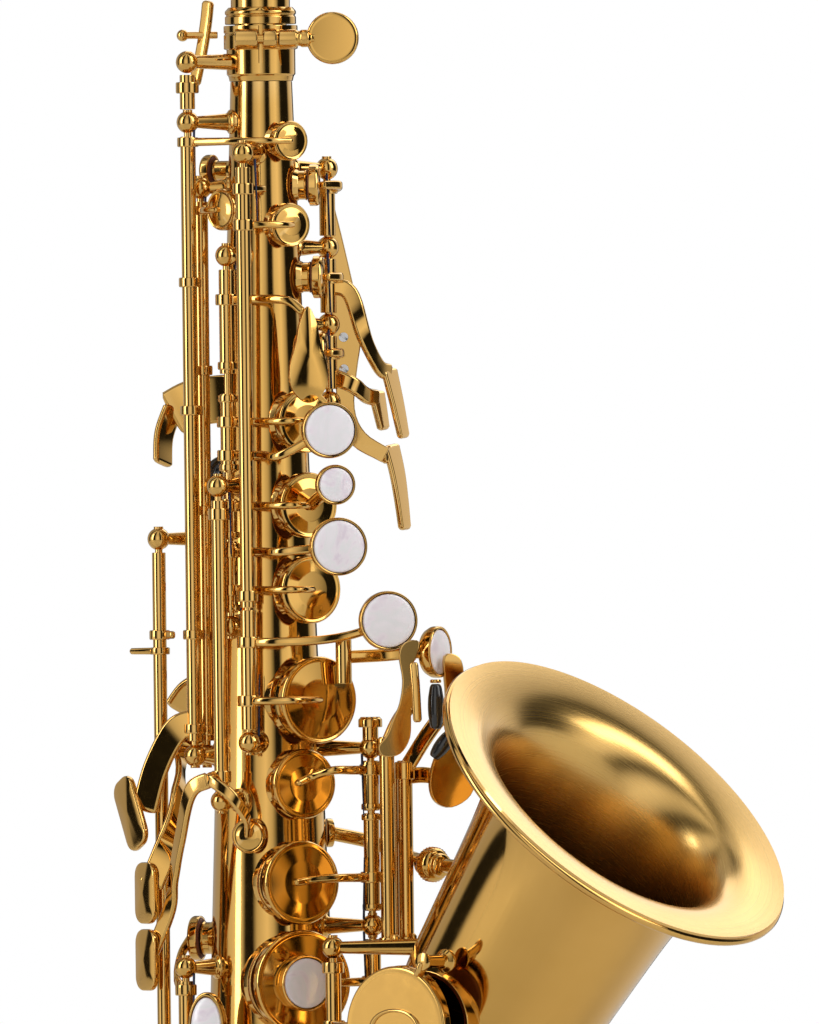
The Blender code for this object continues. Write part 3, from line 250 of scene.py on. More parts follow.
def eased_rings(ring, thickness, edge):
    """The rings of a plate with eased edges, where ring(inset, height) gives one."""
    low, high = edge * 0.3, thickness - edge * 0.3
    return [ring(edge, 0), ring(low, low), ring(0, edge), ring(0, thickness - edge), ring(low, high),
            ring(edge, thickness)]


def slab(outline, place, thickness, edge=0.35, dome=0.0):
    """A plate from an outline of (x, y), shrunk towards its middle at the edges, with a top that may rise."""
    points = [Vector(p) for p in outline]
    middle = sum(points, Vector((0, 0))) / len(points)
    span = max((p - middle).length for p in points)

    def ring(inset, height):
        share = 1 - inset / span
        return [place @ Vector((*(middle + (p - middle) * share), height)) for p in points]

    rings = eased_rings(ring, thickness, edge)
    if dome:
        for share in (0.35, 0.7):
            rings.append(ring(edge + (span - edge) * share, thickness + dome * (1 - (1 - share) ** 2)))
        rings.append([place @ Vector((*middle, thickness + dome))])
    return shape_of_rings(rings)


def sheet(outline, place, thickness, edge=0.3):
    """A flat plate of any outline with eased edges, inset along its own normals."""
    points = [Vector(p) for p in outline]
    following = points[1:] + points[:1]
    sign = 1 if sum(p.x * q.y - q.x * p.y for p, q in zip(points, following)) > 0 else -1
    inward = []
    for i, after in enumerate(following):
        tangent = (after - points[i - 1]).normalized()
        inward.append(Vector((-tangent.y, tangent.x)) * sign)

    def ring(inset, height):
        return [place @ Vector((*(p + n * inset), height)) for p, n in zip(points, inward)]

    return shape_of_rings(eased_rings(ring, thickness, edge))


def plate(place, width, height, thickness, corner=0.3, dome=0.25, edge=0.35):
    return slab(rounded(width, height, corner * width, 6), place, thickness, edge, dome)


def slotted_screw(centre, normal, radius, height=0.9, turn=0.6):
    """A round screw head whose slot is a real groove between two half discs."""
    place = frame_at(centre, normal, Vector((math.sin(turn), 0.2, math.cos(turn))))
    half = height * 0.5
    shapes = [turned([(0, 0), (radius, 0), (radius, half), (0, half)], place, 24, ease=0.1)]
    start = math.asin(0.16)
    turns = [start + (math.pi - 2 * start) * i / 12 for i in range(13)]
    for side in (1, -1):
        outline = [(math.cos(angle) * radius, side * math.sin(angle) * radius) for angle in turns]
        shapes.append(slab(outline, place @ Matrix.Translation((0, 0, height * 0.3)), height * 0.7,
                           radius * 0.09))
    return shapes


# ---------------------------------------------------------------- finishes


class Graph:
    """A node tree, with short ways to add the nodes that the finishes and the studio share."""

    def __init__(self, tree):
        self.nodes, self.links = tree.nodes, tree.links

    def fill(self, node, values):
        """Sets a node's inputs, each to a value or to the output that feeds it."""
        for name, value in values.items():
            if isinstance(value, bpy.types.NodeSocket):
                self.links.new(value, node.inputs[name])
            else:
                node.inputs[name].default_value = value

    def add(self, kind, values, **settings):
        made = self.nodes.new("ShaderNode" + kind)
        for name, value in settings.items():
            setattr(made, name, value)
        self.fill(made, values)
        return made

    def noise(self, place, scale, detail=4.0, roughness=0.55):
        values = {"Scale": scale, "Detail": detail, "Roughness": roughness, "Vector": place}
        return self.add("TexNoise", values).outputs["Fac"]

    def ranged(self, value, low, high, start=0.3, end=0.7):
        values = {"From Min": start, "From Max": end, "To Min": low, "To Max": high, "Value": value}
        return self.add("MapRange", values).outputs["Result"]

    def mixed(self, share, one, two, blend="MIX"):
        values = {"Factor": share, "A": one, "B": two}
        for name in "AB":
            if isinstance(values[name], tuple):
                values[name] = (*values[name], 1)
        return self.add("Mix", values, data_type="RGBA", blend_type=blend).outputs["Result"]

    def ramp(self, value, stops):
        made = self.add("ValToRGB", {"Fac": value})
        elements = made.color_ramp.elements
        while len(elements) < len(stops):
            elements.new(0.5)
        for element, (spot, colour) in zip(elements, stops):
            element.position = spot
            element.color = (*colour, 1)
        return made.outputs["Color"]


class Finish(Graph):
    """A procedural material."""

    def __init__(self, name):
        self.material = bpy.data.materials.new(name)
        self.material.use_nodes = True
        super().__init__(self.material.node_tree)
        self.shader = self.nodes["Principled BSDF"]
        self.place = self.nodes.new("ShaderNodeTexCoord").outputs["Object"]

    def finished(self, colour, roughness, relief, strength, distance, **values):
        """The material, with its colour, roughness, relief and other shader inputs."""
        bump = self.add("Bump", {"Strength": strength, "Distance": distance, "Height": relief})
        names = {name.replace("_", " "): value for name, value in values.items()}
        self.fill(self.shader, {"Base Color": colour, "Roughness": roughness,
                                "Normal": bump.outputs["Normal"], **names})
        return self.material


def surface(name, one, two, scale, rough, metallic=0.0, bump=(300, 0.05, 0.0001), coat=0.0):
    """A finish whose colour and roughness wander, with a fine relief."""
    made = Finish(name)
    colour = made.mixed(made.ranged(made.noise(made.place, scale), 0, 1), one, two)
    roughness = made.ranged(made.noise(made.place, scale * 2.3), *rough)
    return made.finished(colour, roughness, made.noise(made.place, bump[0], 3.0), *bump[1:],
                         Metallic=metallic, Coat_Weight=coat, Coat_Roughness=0.05)


def gold_lacquer():
    """Lacquered brass: a slow drift in colour, faint handling marks, paler edges and a clear top coat."""
    made = Finish("gold")
    tone = made.mixed(made.ranged(made.noise(made.place, 24, 3.0), 0, 1), (0.64, 0.37, 0.088),
                      (0.72, 0.425, 0.115))
    edge = made.nodes.new("ShaderNodeNewGeometry").outputs["Pointiness"]
    colour = made.mixed(made.ranged(edge, 0, 0.6, 0.52, 0.6), tone, (0.82, 0.55, 0.22))
    marks = made.ranged(made.noise(made.place, 420, 6.0, 0.7), 0.05, 0.115)
    return made.finished(colour, marks, made.noise(made.place, 45, 2.0), 0.1, 0.0005,
                         Metallic=1.0, Coat_Weight=0.2, Coat_Roughness=0.04, Coat_Tint=(1.0, 0.93, 0.78, 1))


def satin_gold():
    """The bell's brushed inside: fine rings round its axis under the lacquer, with painted shade that darkens
    the colour down the throat, partly the darker bare brass there.
    """
    made = Finish("satin")
    offset = made.add("VectorMath", {0: made.place, 1: (RIM_CENTRE + OFFSET) * METRE},
                      operation="SUBTRACT").outputs["Vector"]
    height = made.add("VectorMath", {0: offset, 1: RIM_HEADING}, operation="DOT_PRODUCT").outputs["Value"]
    length = made.add("VectorMath", {0: offset}, operation="LENGTH").outputs["Value"]
    brush = made.noise(made.add("CombineXYZ", {"X": height, "Y": length}).outputs["Vector"], 2600, 5.0, 0.8)
    tone = made.mixed(made.ranged(made.noise(made.place, 30, 3.0), 0, 1), (0.70, 0.43, 0.125),
                      (0.78, 0.49, 0.16))
    # painted shade: the colour darkens to near black from 10 mm to 45 mm below the rim, standing in for the
    # shade deep in the throat, with a little of the bare brass's darker tone
    colour = made.mixed(made.ranged(height, 1, 0, -0.045, -0.01), tone, (0.10, 0.042, 0.010))
    return made.finished(colour, made.ranged(brush, 0.2, 0.3), brush, 0.12, 0.0001,
                         Metallic=1.0, Coat_Weight=0.25, Coat_Roughness=0.12)


def mother_of_pearl():
    """White nacre: soft clouds of pink and green under a polished surface."""
    made = Finish("pearl")
    bend = made.add("TexNoise", {"Scale": 110, "Detail": 3, "Distortion": 1.8,
                                 "Vector": made.place}).outputs["Fac"]
    colour = made.ramp(bend, ((0.3, (0.88, 0.78, 0.87)), (0.45, (0.99, 0.92, 0.98)),
                              (0.55, (0.94, 0.92, 0.95)),
                              (0.7, (1.0, 0.95, 1.0))))
    return made.finished(colour, made.ranged(bend, 0.12, 0.24), made.noise(made.place, 260, 3.0), 0.05,
                         0.0001,
                         Coat_Weight=0.5, Subsurface_Weight=0.1, Subsurface_Radius=(0.002, 0.0015, 0.0015),
                         Sheen_Weight=0.1)


FINISHES = {
    "gold": gold_lacquer(),
    "satin": satin_gold(),
    "pearl": mother_of_pearl(),
    "black": surface("black", (0.006, 0.006, 0.007), (0.016, 0.015, 0.015), 60, (0.12, 0.26), coat=0.4),
    "cork": surface("cork", (0.36, 0.2, 0.09), (0.6, 0.38, 0.2), 420, (0.7, 0.95), bump=(900, 0.5, 0.0003)),
    "cane": surface("cane", (0.62, 0.44, 0.17), (0.76, 0.6, 0.3), 160, (0.4, 0.6), bump=(700, 0.2, 0.0002)),
    "leather": surface("leather", (0.14, 0.045, 0.022), (0.26, 0.085, 0.04), 260, (0.5, 0.75),
                       bump=(1400, 0.5, 0.0002)),
    "steel": surface("steel", (0.52, 0.53, 0.55), (0.7, 0.7, 0.7), 300, (0.12, 0.28), metallic=1.0),
    "blue_steel": surface("blue_steel", (0.015, 0.02, 0.05), (0.05, 0.06, 0.12), 400, (0.18, 0.34),
                          metallic=0.8),
}

# ---------------------------------------------------------------- pieces


def place_of(body):
    """Where a body's joint is, in mm."""
    return Vector(JOINTS[body]["pos_m"]) / METRE - OFFSET


class Hinge:
    """A CAD body and, for keys that are open at rest, the turn from shut to rest about its joint."""

    def __init__(self, body, drawn_shut=False):
        self.body = body
        self.turn = HERE
        if drawn_shut:
            there = Matrix.Translation(place_of(body))
            angle = math.radians(JOINTS[body]["range_deg"][1])
            self.turn = there @ Matrix.Rotation(-angle, 4, Vector(JOINTS[body]["axis"])) @ there.inverted()


def mesh_object(name, shapes, finishes=("gold", "satin"), turn=HERE):
    points, faces, indices = [], [], []
    for shape_points, shape_faces, index in shapes:
        start = len(points)
        points.extend((turn @ point + OFFSET) * METRE for point in shape_points)
        faces.extend(tuple(corner + start for corner in face) for face in shape_faces)
        indices.extend(index or [0] * len(shape_faces))
    mesh = bpy.data.meshes.new(name)
    mesh.from_pydata([tuple(p) for p in points], [], faces)
    for finish in finishes:
        mesh.materials.append(FINISHES[finish])
    mesh.polygons.foreach_set("material_index", indices)
    bm = bmesh.new()
    bm.from_mesh(mesh)
    bmesh.ops.recalc_face_normals(bm, faces=bm.faces)
    bm.to_mesh(mesh)
    bm.free()
    mesh.shade_smooth()
    mesh.set_sharp_from_angle(angle=SHARP_EDGE)
    made = bpy.data.objects.new(name, mesh)
    bpy.context.scene.collection.objects.link(made)
    made.modifiers.new("flats", "WEIGHTED_NORMAL").keep_sharp = True
    return made


def extra(name, shapes, finish, hinge=None):
    """A piece that no CAD node stands for, such as a pad or a screw."""
    finishes = [finish] if isinstance(finish, str) else finish
    made = mesh_object(name, shapes, finishes, hinge.turn if hinge else HERE)
    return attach(made, hinge.body if hinge else "sax_body")


def piece(name, shapes, finish="gold", hinge=None):
    """The look of one CAD node, on that node's body."""
    made = extra("look_" + name, shapes, finish, hinge)
    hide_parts(name)
    return made


def cut(wall, cutters):
    """A wall with the cutters' holes through it."""
    base = mesh_object("cut_base", [wall])
    tools = bpy.data.collections.new("cutters")
    bpy.context.scene.collection.children.link(tools)
    made = [mesh_object("cutter", [cutter], ["gold"]) for cutter in cutters]
    for tool in made:
        bpy.context.scene.collection.objects.unlink(tool)
        tools.objects.link(tool)
    change = base.modifiers.new("holes", "BOOLEAN")
    change.operation = "DIFFERENCE"
    change.operand_type = "COLLECTION"
    change.collection = tools
    change.solver = "EXACT"
    mesh = bpy.data.meshes.new_from_object(base.evaluated_get(bpy.context.evaluated_depsgraph_get()))
    points = [v.co / METRE - OFFSET for v in mesh.vertices]
    faces = [tuple(p.vertices) for p in mesh.polygons]
    indices = [p.material_index for p in mesh.polygons]
    for thing in [base, *made]:
        bpy.data.objects.remove(thing)
    bpy.data.collections.remove(tools)
    return points, faces, indices


# ---------------------------------------------------------------- hinge lines, as (theta, radius)


def line_of(body):
    """A joint's line as (theta, radius) about the body tube's axis."""
    x, y, _ = place_of(body)
    return math.degrees(math.atan2(x, -y)), math.hypot(x, y)


LINE_LEFT_STACK = line_of("b_key")
LINE_G = line_of("g_key")
LINE_E = line_of("high_e_key")
LINE_SIDE_C = line_of("side_c_key")
LINE_SIDE_B_FLAT = line_of("side_b_flat_key")
LINE_F_SHARP = line_of("high_f_sharp_lever")
LINE_RIGHT_STACK = line_of("f_key")
LINE_PALM = line_of("palm_f_key")
LINE_OCTAVE = line_of("octave_lever")
LINE_TRILL = line_of("f_sharp_trill_key")
LINE_E_FLAT = line_of("low_e_flat_key")
LINE_LOW_C = line_of("low_c_key")
BELL_LINE = place_of("low_b_key") * Vector((1, 1, 0))

# Tone holes on the body: (theta, z, cup radius, height of the seat above the tube)
HOLES = {
    "high_e": (71, 307, 5.0, CHIMNEY),
    "palm_f": (124, 296, 5.2, CHIMNEY),
    "high_f_sharp": (68, 286, 5.5, CHIMNEY),
    "palm_e_flat": (122, 273, 5.3, CHIMNEY),
    "side_c": (-10, 290, 5.2, CHIMNEY),
    "palm_d": (122, 254, 5.5, CHIMNEY),
    "b": (79, 237, 8.0, CHIMNEY),
    "bis": (79, 216, 8.25, CHIMNEY),
    "a": (79, 195, 8.6, CHIMNEY),
    "g": (79, 167.4, 10.9, CHIMNEY),
    "g_sharp": (66, 146.5, 8.75, CHIMNEY),
    "side_b_flat": (22, 133.8, 4.4, CHIMNEY),
    "f_sharp": (58, 122, 10.5, CHIMNEY),
    "f": (57, 97, 13.2, CHIMNEY),
    "trill": (-68, 108, 5.6, CHIMNEY),
    "e": (57, 68, 13.2, CHIMNEY),
    "d": (57, 38, 13.4, CHIMNEY),
    "low_e_flat": (-82, 24, 11.0, CHIMNEY),
    "body_octave": (-78, 300, 4.0, 4.4),
}
BELL_HOLES = {"low_c_sharp": (18.5, 11.2), "low_b": (47.0, 14.6), "low_b_flat": (86.5, 15.5)}
LOW_C_SEAT, LOW_C_CUP = Vector((9.5, -22.3, -19.5)), 13.2

# Hinge rods: (line, high end, low end), each end in a post, and the posts between the ends of one rod
RODS = (
    (LINE_E, 312, 153.8), (LINE_SIDE_C, 295.6, 153.8), (LINE_G, 304, 157), (LINE_LEFT_STACK, 278.5, 186),
    (LINE_SIDE_B_FLAT, 221, 142.5), (LINE_RIGHT_STACK, 155.3, 111), (LINE_RIGHT_STACK, 111, 21.5),
    (LINE_PALM, 300.2, 241.8), (LINE_OCTAVE, 309, 228.5), (LINE_TRILL, 101, 66), (LINE_E_FLAT, 53, 9),
    (LINE_LOW_C, 47, 12), (LINE_F_SHARP, 208, 61),
)
MIDDLE_POSTS = ((LINE_PALM, 280.5), (LINE_PALM, 261.2))
POST_FEET = {(LINE_F_SHARP, 208): -84, (LINE_F_SHARP, 61): -60}
BELL_POSTS = (6.2, 30.6, 64.5, 106.0)

# Needle springs: (line, height of the post, 1 for up or -1 for down, turn in degrees towards the key)
SPRINGS = (
    (LINE_E, 312, -1, 4), (LINE_SIDE_C, 295.6, -1, 3), (LINE_G, 304, -1, 8), (LINE_LEFT_STACK, 278.5, -1, 8),
    (LINE_LEFT_STACK, 186, 1, 8), (LINE_SIDE_B_FLAT, 221, -1, 7), (LINE_RIGHT_STACK, 155.3, -1, -5),
    (LINE_RIGHT_STACK, 111, 1, -5), (LINE_RIGHT_STACK, 111, -1, -5), (LINE_RIGHT_STACK, 21.5, 1, -5),
    (LINE_PALM, 300.2, -1, -8), (LINE_PALM, 280.5, -1, -8), (LINE_PALM, 261.2, -1, -8), (LINE_G, 157, 1, 6),
    (LINE_E_FLAT, 53, -1, 5), (LINE_TRILL, 101, -1, 5),
)


def seat_of(hole):
    """A tone hole's seat: its middle, the way it faces and its cup's radius."""
    if hole == "low_c":
        return LOW_C_SEAT, FRONT, LOW_C_CUP
    if hole in BELL_HOLES:
        z, cup = BELL_HOLES[hole]
        x, radius = bell_at(z)
        return Vector((x, -radius - CHIMNEY, z)), FRONT, cup
    theta, z, cup, height = HOLES[hole]
    return around(theta, body_radius(z) + height, z), facing(theta), cup


def crown_of(hole, lift=0.2):
    """The middle of a closed cup's top, as (theta, radius, z)."""
    theta, z, cup, height = HOLES[hole]
    return theta, body_radius(z) + height + CUP_HEIGHT + lift, z


def cup_at(point, normal, radius, height=CUP_HEIGHT, segments=72):
    """A key cup: a straight side, a fine bead round its edge and a nearly flat, faintly domed top."""
    bead = min(0.9, radius * 0.12)
    low = GAP + 0.35
    profile = [
        (0, 1.1), (radius - 0.7, 1.1), (radius - 0.5, low), (radius, low), (radius, height * 0.72),
        (radius - 0.35, height * 0.9), (radius - bead, height * 0.84), (radius - bead - 0.5, height * 0.82),
        (radius * 0.5, height * 0.93), (0, height),
    ]
    return turned(profile, frame_at(point, normal), segments, ease=0.22)


def pad_at(point, normal, radius):
    """A leather pad with a soft edge, under a cup."""
    edge = radius - 0.55
    profile = [(0, GAP + 0.1), (radius * 0.8, GAP), (radius - 1.0, GAP - 0.05), (edge, GAP + 0.3),
               (edge, 1.4), (0, 1.4)]
    return turned(profile, frame_at(point, normal), 48, ease=0.2)


def hinge_tube(line, low, high, radius=TUBE):
    return rod(around(*line, low), around(*line, high), radius, 26, ease=0.2)


def collars(line, radius, height, *places):
    """A key's soldered collars on its hinge tube."""
    profile = [(0, 0), (radius, 0), (radius, height), (0, height)]
    made = []
    for z in places:
        low = around(*line, z - height / 2)
        made.append(turned(profile, along(low, low + UP), 30, ease=0.35))
    return made


def wide_collars(line, *places):
    return collars(line, 2.9, 2.8, *places)


def arm_to(hole, line, z, *between, width=2.2):
    """An arm from a hinge line over the cup's edge, ending in a tapering rib across its crown."""
    return bent([(*line, z), *between, crown_of(hole)], width, 1.8, taper=0.7)


def key(name, shapes, hole=None, opened=False):
    """A key on its hinge, with the cup and pad for its tone hole; returns the hinge."""
    hinge = Hinge(name, opened)
    piece(name, shapes + ([cup_at(*seat_of(hole))] if hole else []), hinge=hinge)
    if hole:
        extra("pad_" + hole, [pad_at(*seat_of(hole))], "leather", hinge)
    return hinge


def pearl(name, hinge, centre, normal, radius, tall=1.0):
    place = frame_at(centre, normal) @ Matrix.Diagonal((1, tall, 1, 1))
    low, inner = 0.9 + GAP, radius - 0.75
    profile = [(0, low), (inner, low), (inner, 1.75), (inner - 0.35, 2.05), (inner - 1.2, 2.2),
               (inner * 0.5, 2.3), (0, 2.33)]
    piece("pearl_" + name, [turned(profile, place, 72, ease=0.25)], "pearl", hinge)


def pearl_ring(centre, normal, radius, tall=1.0, depth=1.8):
    place = frame_at(centre, normal) @ Matrix.Diagonal((1, tall, 1, 1))
    inner = radius - 0.62
    profile = [(0, -depth), (radius - 0.8, -depth), (radius - 0.1, -0.4), (radius, 0.2), (radius, 1.75),
               (radius - 0.25, 2.1), (inner + 0.05, 2.0), (inner, 0.9), (0, 0.9)]
    return turned(profile, place, 72, ease=0.22)


def pivots(*ends):
    """Hinge rods from end to end, lowest first, with a slotted screw at both outer ends."""
    reach = UP * (BALL - 0.6)
    rods = [rod(low, high, PIVOT, 14) for low, high in zip(ends, ends[1:])]
    return rods + slotted_screw(ends[-1] + reach, UP, 1.2) + slotted_screw(ends[0] - reach, -UP, 1.2)


# ---------------------------------------------------------------- body, bow, bell


def post(top, foot, stout=0.0):
    """A ball post: a ball on a flaring stem with a round foot sunk into a wall."""
    reach = (top - foot).length
    root = foot - (top - foot).normalized() * 0.8
    profile = [(0, 0), (3.1 + stout, 0), (3.1 + stout, 1.2), (2.4 + stout, 1.6), (2.15 + stout / 2, 2.2),
               (1.45 + stout / 2, max(reach - 1.2, 2.6)), (1.9, max(reach - 0.9, 2.9) + stout), (1.5,
                                                                                                 reach + 0.6),
               (0, reach + 0.8)]
    return [ball(top, BALL), turned(profile, along(root, top), 26)]


def body_post(line, z):
    return post(around(*line, z), around(POST_FEET.get((line, z), line[0]), body_radius(z), z))


def bell_post(z):
    foot_z = max(z, 4.0)
    x, radius = bell_at(foot_z)
    top, axis = BELL_LINE + UP * z, Vector((x, 0, foot_z))
    return post(top, axis + (top - axis).normalized() * radius, 0.1)


def chimney(root, seat, wide, segments=64):
    """A tone hole's drawn wall, with a rolled seat."""
    tall, bore = (seat - root).length, wide - CHIMNEY_WALL
    profile = [(bore, 0), (wide, 0), (wide, tall - 0.5), (wide + 0.25, tall - 0.2), (wide + 0.1, tall),
               (bore, tall)]
    return turned(profile, frame_at(root, seat - root), segments, True, 0.12)


def body_tube():
    outer, inner = [], []
    steps = 60
    for i in range(steps + 1):
        z = GAP + (BODY_TOP - GAP) * i / steps
        outer.append((body_radius(z), z))
        inner.append((body_radius(z) - WALL, z))
    wall = turned(outer + inner[::-1], HERE, 128, True, 0)
    cutters, shapes = [], []
    for theta, z, cup, height in HOLES.values():
        wide, reach, out = cup - CUP_OVERHANG, body_radius(z), facing(theta)
        depth = math.sqrt(max(reach**2 - wide**2, 0)) - 1.0
        foot = reach - depth
        root, seat = out * depth + UP * z, out * (reach + height) + UP * z
        cutters.append(rod(out * 0.5 * reach + UP * z, seat, wide - CHIMNEY_WALL, 40, ease=0))
        rim = [(wide + 0.1, foot - 0.1), (wide + 0.75, foot - 0.9), (wide + 0.1, foot + 0.65)]
        shapes += [chimney(root, seat, wide, 48), turned(rim, frame_at(root, out), 48, True, 0.2)]
    shapes.insert(0, cut(wall, cutters))
    posts = [(line, z) for line, high, low in RODS for z in (high, low)]
    for line, z in dict.fromkeys([*posts, *MIDDLE_POSTS]):
        shapes += body_post(line, z)
    low, high = around(*LINE_RIGHT_STACK, 155.3), around(*LINE_RIGHT_STACK, 163)
    cap = [(0, -2.6), (3.0, -2.6), (3.0, -0.6), (2.5, -0.2), (2.5, 0), (0, 0)]
    shapes += [rod(low, high, TUBE), turned(cap, along(high, high + UP), 30)]
    for z in (3.6, 5.2):
        ridge = [(body_radius(z) - 0.1, z), (body_radius(z) + 0.35, z + 0.4), (body_radius(z) - 0.1, z + 0.8)]
        shapes.append(turned(ridge, HERE, 96, True, 0.15))
    piece("body_tube", shapes)
    made = []
    for line, high, low in RODS:
        made += pivots(around(*line, low), around(*line, high))
    extra("pivot_screws", made, "gold")


def needle_springs():
    """The blued needles that stand in the posts and press on the keys."""
    needles = []
    for (theta, distance), z, way, turn in SPRINGS:
        low = around(theta + turn, distance - 1.2, z + way * 1.5)
        high = around(theta + turn * 1.2, distance - 0.6, z + way * 17)
        needles.append(rod(low, high, 0.34, 10, 0.16, ease=0.1))
    extra("needle_springs", needles, "blue_steel")


def flare_lean(stations, i):
    """How far the wall leans away from the tube's axis at a station."""
    before, after = stations[max(i - 1, 0)], stations[min(i + 1, len(stations) - 1)]
    return math.atan2(after[2] - before[2], (after[0] - before[0]).length)


def wide_tube(stations, segments, inside=0, flared=False):
    """A thin-walled tube through stations of (centre, direction, radius); inside is its inner material."""
    rings = []
    count = len(stations)
    for offset, order in ((0.0, range(count)), (WALL, range(count - 1, -1, -1))):
        for i in order:
            centre, direction, radius = stations[i]
            lean = flare_lean(stations, i) if flared else 0.0
            middle = centre + direction * offset * math.sin(lean)
            reach = radius - offset * math.cos(lean)
            other = direction.cross(ACROSS).normalized()
            turns = [math.tau * k / segments for k in range(segments)]
            rings.append([middle + other * math.cos(t) * reach + ACROSS * math.sin(t) * reach for t in turns])
    points, faces, _ = shape_of_rings(rings, loop=True)
    half = count * segments
    return points, faces, [inside if face[0] >= half else 0 for face in faces]


def bow():
    stations = []
    steps = 48
    start, end = math.radians(1.2), math.radians(178.8)
    for i in range(steps + 1):
        turn = start + (end - start) * i / steps
        centre = Vector((BOW_RADIUS - BOW_RADIUS * math.cos(turn), 0, -BOW_RADIUS * math.sin(turn)))
        radius = BODY_RADIUS + (BELL_TUBE_RADIUS - BODY_RADIUS) * i / steps
        stations.append((centre, Vector((math.sin(turn), 0, -math.cos(turn))), radius))
    wide = LOW_C_CUP - CUP_OVERHANG
    bore = rod(LOW_C_SEAT * Vector((1, 0, 1)) + FRONT * 8.0, LOW_C_SEAT, wide - CHIMNEY_WALL, 64, ease=0)
    root = LOW_C_SEAT * Vector((1, 0, 1)) + FRONT * 16.0
    piece("bow", [cut(wide_tube(stations, 96), [bore]), chimney(root, LOW_C_SEAT, wide)])


def bell_stations(straight=2, bend_steps=14, flare_steps=40):
    """The bell's axis: straight, then an arc towards the rim, with the radius growing to the flare."""
    stations = []
    for i in range(straight + 1):
        z = GAP + (BELL_STRAIGHT - GAP) * i / straight
        stations.append((Vector((BELL_X, 0, z)), UP, BELL_TUBE_RADIUS + 0.012 * z))
    bend_radius, bend = 89.3, math.radians(37)
    centre = Vector((BELL_X + bend_radius, 0, BELL_STRAIGHT))
    for i in range(1, bend_steps + 1):
        turn = bend * i / bend_steps
        point = centre + Vector((-math.cos(turn), 0, math.sin(turn))) * bend_radius
        direction = Vector((math.sin(turn), 0, math.cos(turn)))
        stations.append((point, direction, BELL_TUBE_RADIUS + 0.6 + 3.4 * (i / bend_steps) ** 1.3))
    last, heading, throat = stations[-1]
    for i in range(1, flare_steps + 1):
        t = 1 - (1 - i / flare_steps) ** 3
        flare = 0.2 * t + 0.235 * t**6 + 0.285 * t**24 + 0.28 * t**110
        direction = heading.lerp(RIM_HEADING, t).normalized()
        stations.append((last.lerp(RIM_CENTRE, t), direction, throat + (RIM_RADIUS - throat) * flare))
    return stations


def bell_at(z):
    """The bell tube's middle and radius at a height."""
    stations = bell_stations(1, 4, 7)
    for (one, _, r_one), (two, _, r_two) in zip(stations, stations[1:]):
        if one.z <= z <= two.z:
            t = (z - one.z) / (two.z - one.z)
            return one.x + (two.x - one.x) * t, r_one + (r_two - r_one) * t


def bell():
    shapes, cutters = [], []
    for hole, (z, cup) in BELL_HOLES.items():
        seat = seat_of(hole)[0]
        x, radius = bell_at(z)
        wide = cup - CUP_OVERHANG
        depth = math.sqrt(radius**2 - wide**2) - 1.2
        shapes.append(chimney(Vector((x, -depth, z)), seat, wide))
        cutters.append(rod(Vector((x, -radius / 2, z)), seat, wide - CHIMNEY_WALL, 56, ease=0))
    shapes.insert(0, cut(wide_tube(bell_stations(), 160, inside=1, flared=True), cutters))
    lip = circle(RIM_RADIUS - 0.2, -0.95, 1.05, 14)
    shapes.append(turned(lip, frame_at(RIM_CENTRE, RIM_HEADING, ACROSS), 160, True, 0))
    for z in BELL_POSTS:
        shapes += bell_post(z)
    piece("bell", shapes, ["gold", "satin"])
    extra("bell_pivots", pivots(*(BELL_LINE + UP * z for z in BELL_POSTS)), "gold")


def rings():
    for name, x, radius in (("body_ring", 0.0, BODY_RADIUS), ("bell_ring", BELL_X, BELL_TUBE_RADIUS)):
        inner, outer = radius + 0.55, radius + 1.5
        profile = [(inner, -1.6), (outer, -1.6), (outer + 0.5, -0.8), (outer + 0.5, 0.2), (outer + 0.15, 0.5),
                   (outer + 0.15, 1.0), (outer + 0.5, 1.3), (outer + 0.5, 2.4), (outer, 3.2), (inner, 3.2)]
        piece(name, [turned(profile, Matrix.Translation((x, 0, 0)), 110, True)])


# ---------------------------------------------------------------- receiver, neck and mouthpiece

CLAMP_OUT, CLAMP_RIGHT = facing(38), facing(128)
CLAMP_Z = 332.5
CLAMP = CLAMP_OUT * 11.2 + UP * CLAMP_Z
NECK_TURN_RADIUS = 34.0
NECK_TURN = math.radians(76)
NECK_BEND_Z = 343.0
NECK_KEY_Z = 352.0


def receiver():
    profile = [
        (6.9, 322.1), (7.9, 322.1), (8.2, 323.4), (8.6, 323.8), (8.6, 330.0), (9.25, 330.2), (9.25, 333.6),
        (9.0, 333.8), (9.0, 334.1), (9.25, 334.3), (9.25, NECK_TOP), (6.9, NECK_TOP),
    ]
    slot = frame_at(CLAMP_OUT * 5.0 + UP * (CLAMP_Z + 2), CLAMP_OUT)
    slit = slab([(-0.55, -8), (0.55, -8), (0.55, 8), (-0.55, 8)], slot, 11, 0.01)
    shapes = [cut(turned(profile, HERE, 110, True, 0.18), [slit])]
    for low, high in ((-6.4, -0.7), (0.7, 4.1)):
        place = along(CLAMP + CLAMP_RIGHT * low, CLAMP + CLAMP_RIGHT * high)
        lug = [(1.5, 0), (2.6, 0), (2.6, high - low), (1.5, high - low)]
        shapes.append(turned(lug, place, 36, True, 0.5))
        for spot in (low + 1.6, high - 1.6):
            foot = CLAMP + CLAMP_RIGHT * max(min(spot, 3), -3)
            shapes.append(rod(foot - CLAMP_OUT * 3.6, foot - CLAMP_OUT * 1.8, 1.5, 20))
    top = around(*LINE_E, 327.0)
    shapes += [ball(top, BALL), rod(around(LINE_E[0], 8.1, 327.0), top, 2.1, 26, 1.5)]
    piece("neck_receiver", shapes)


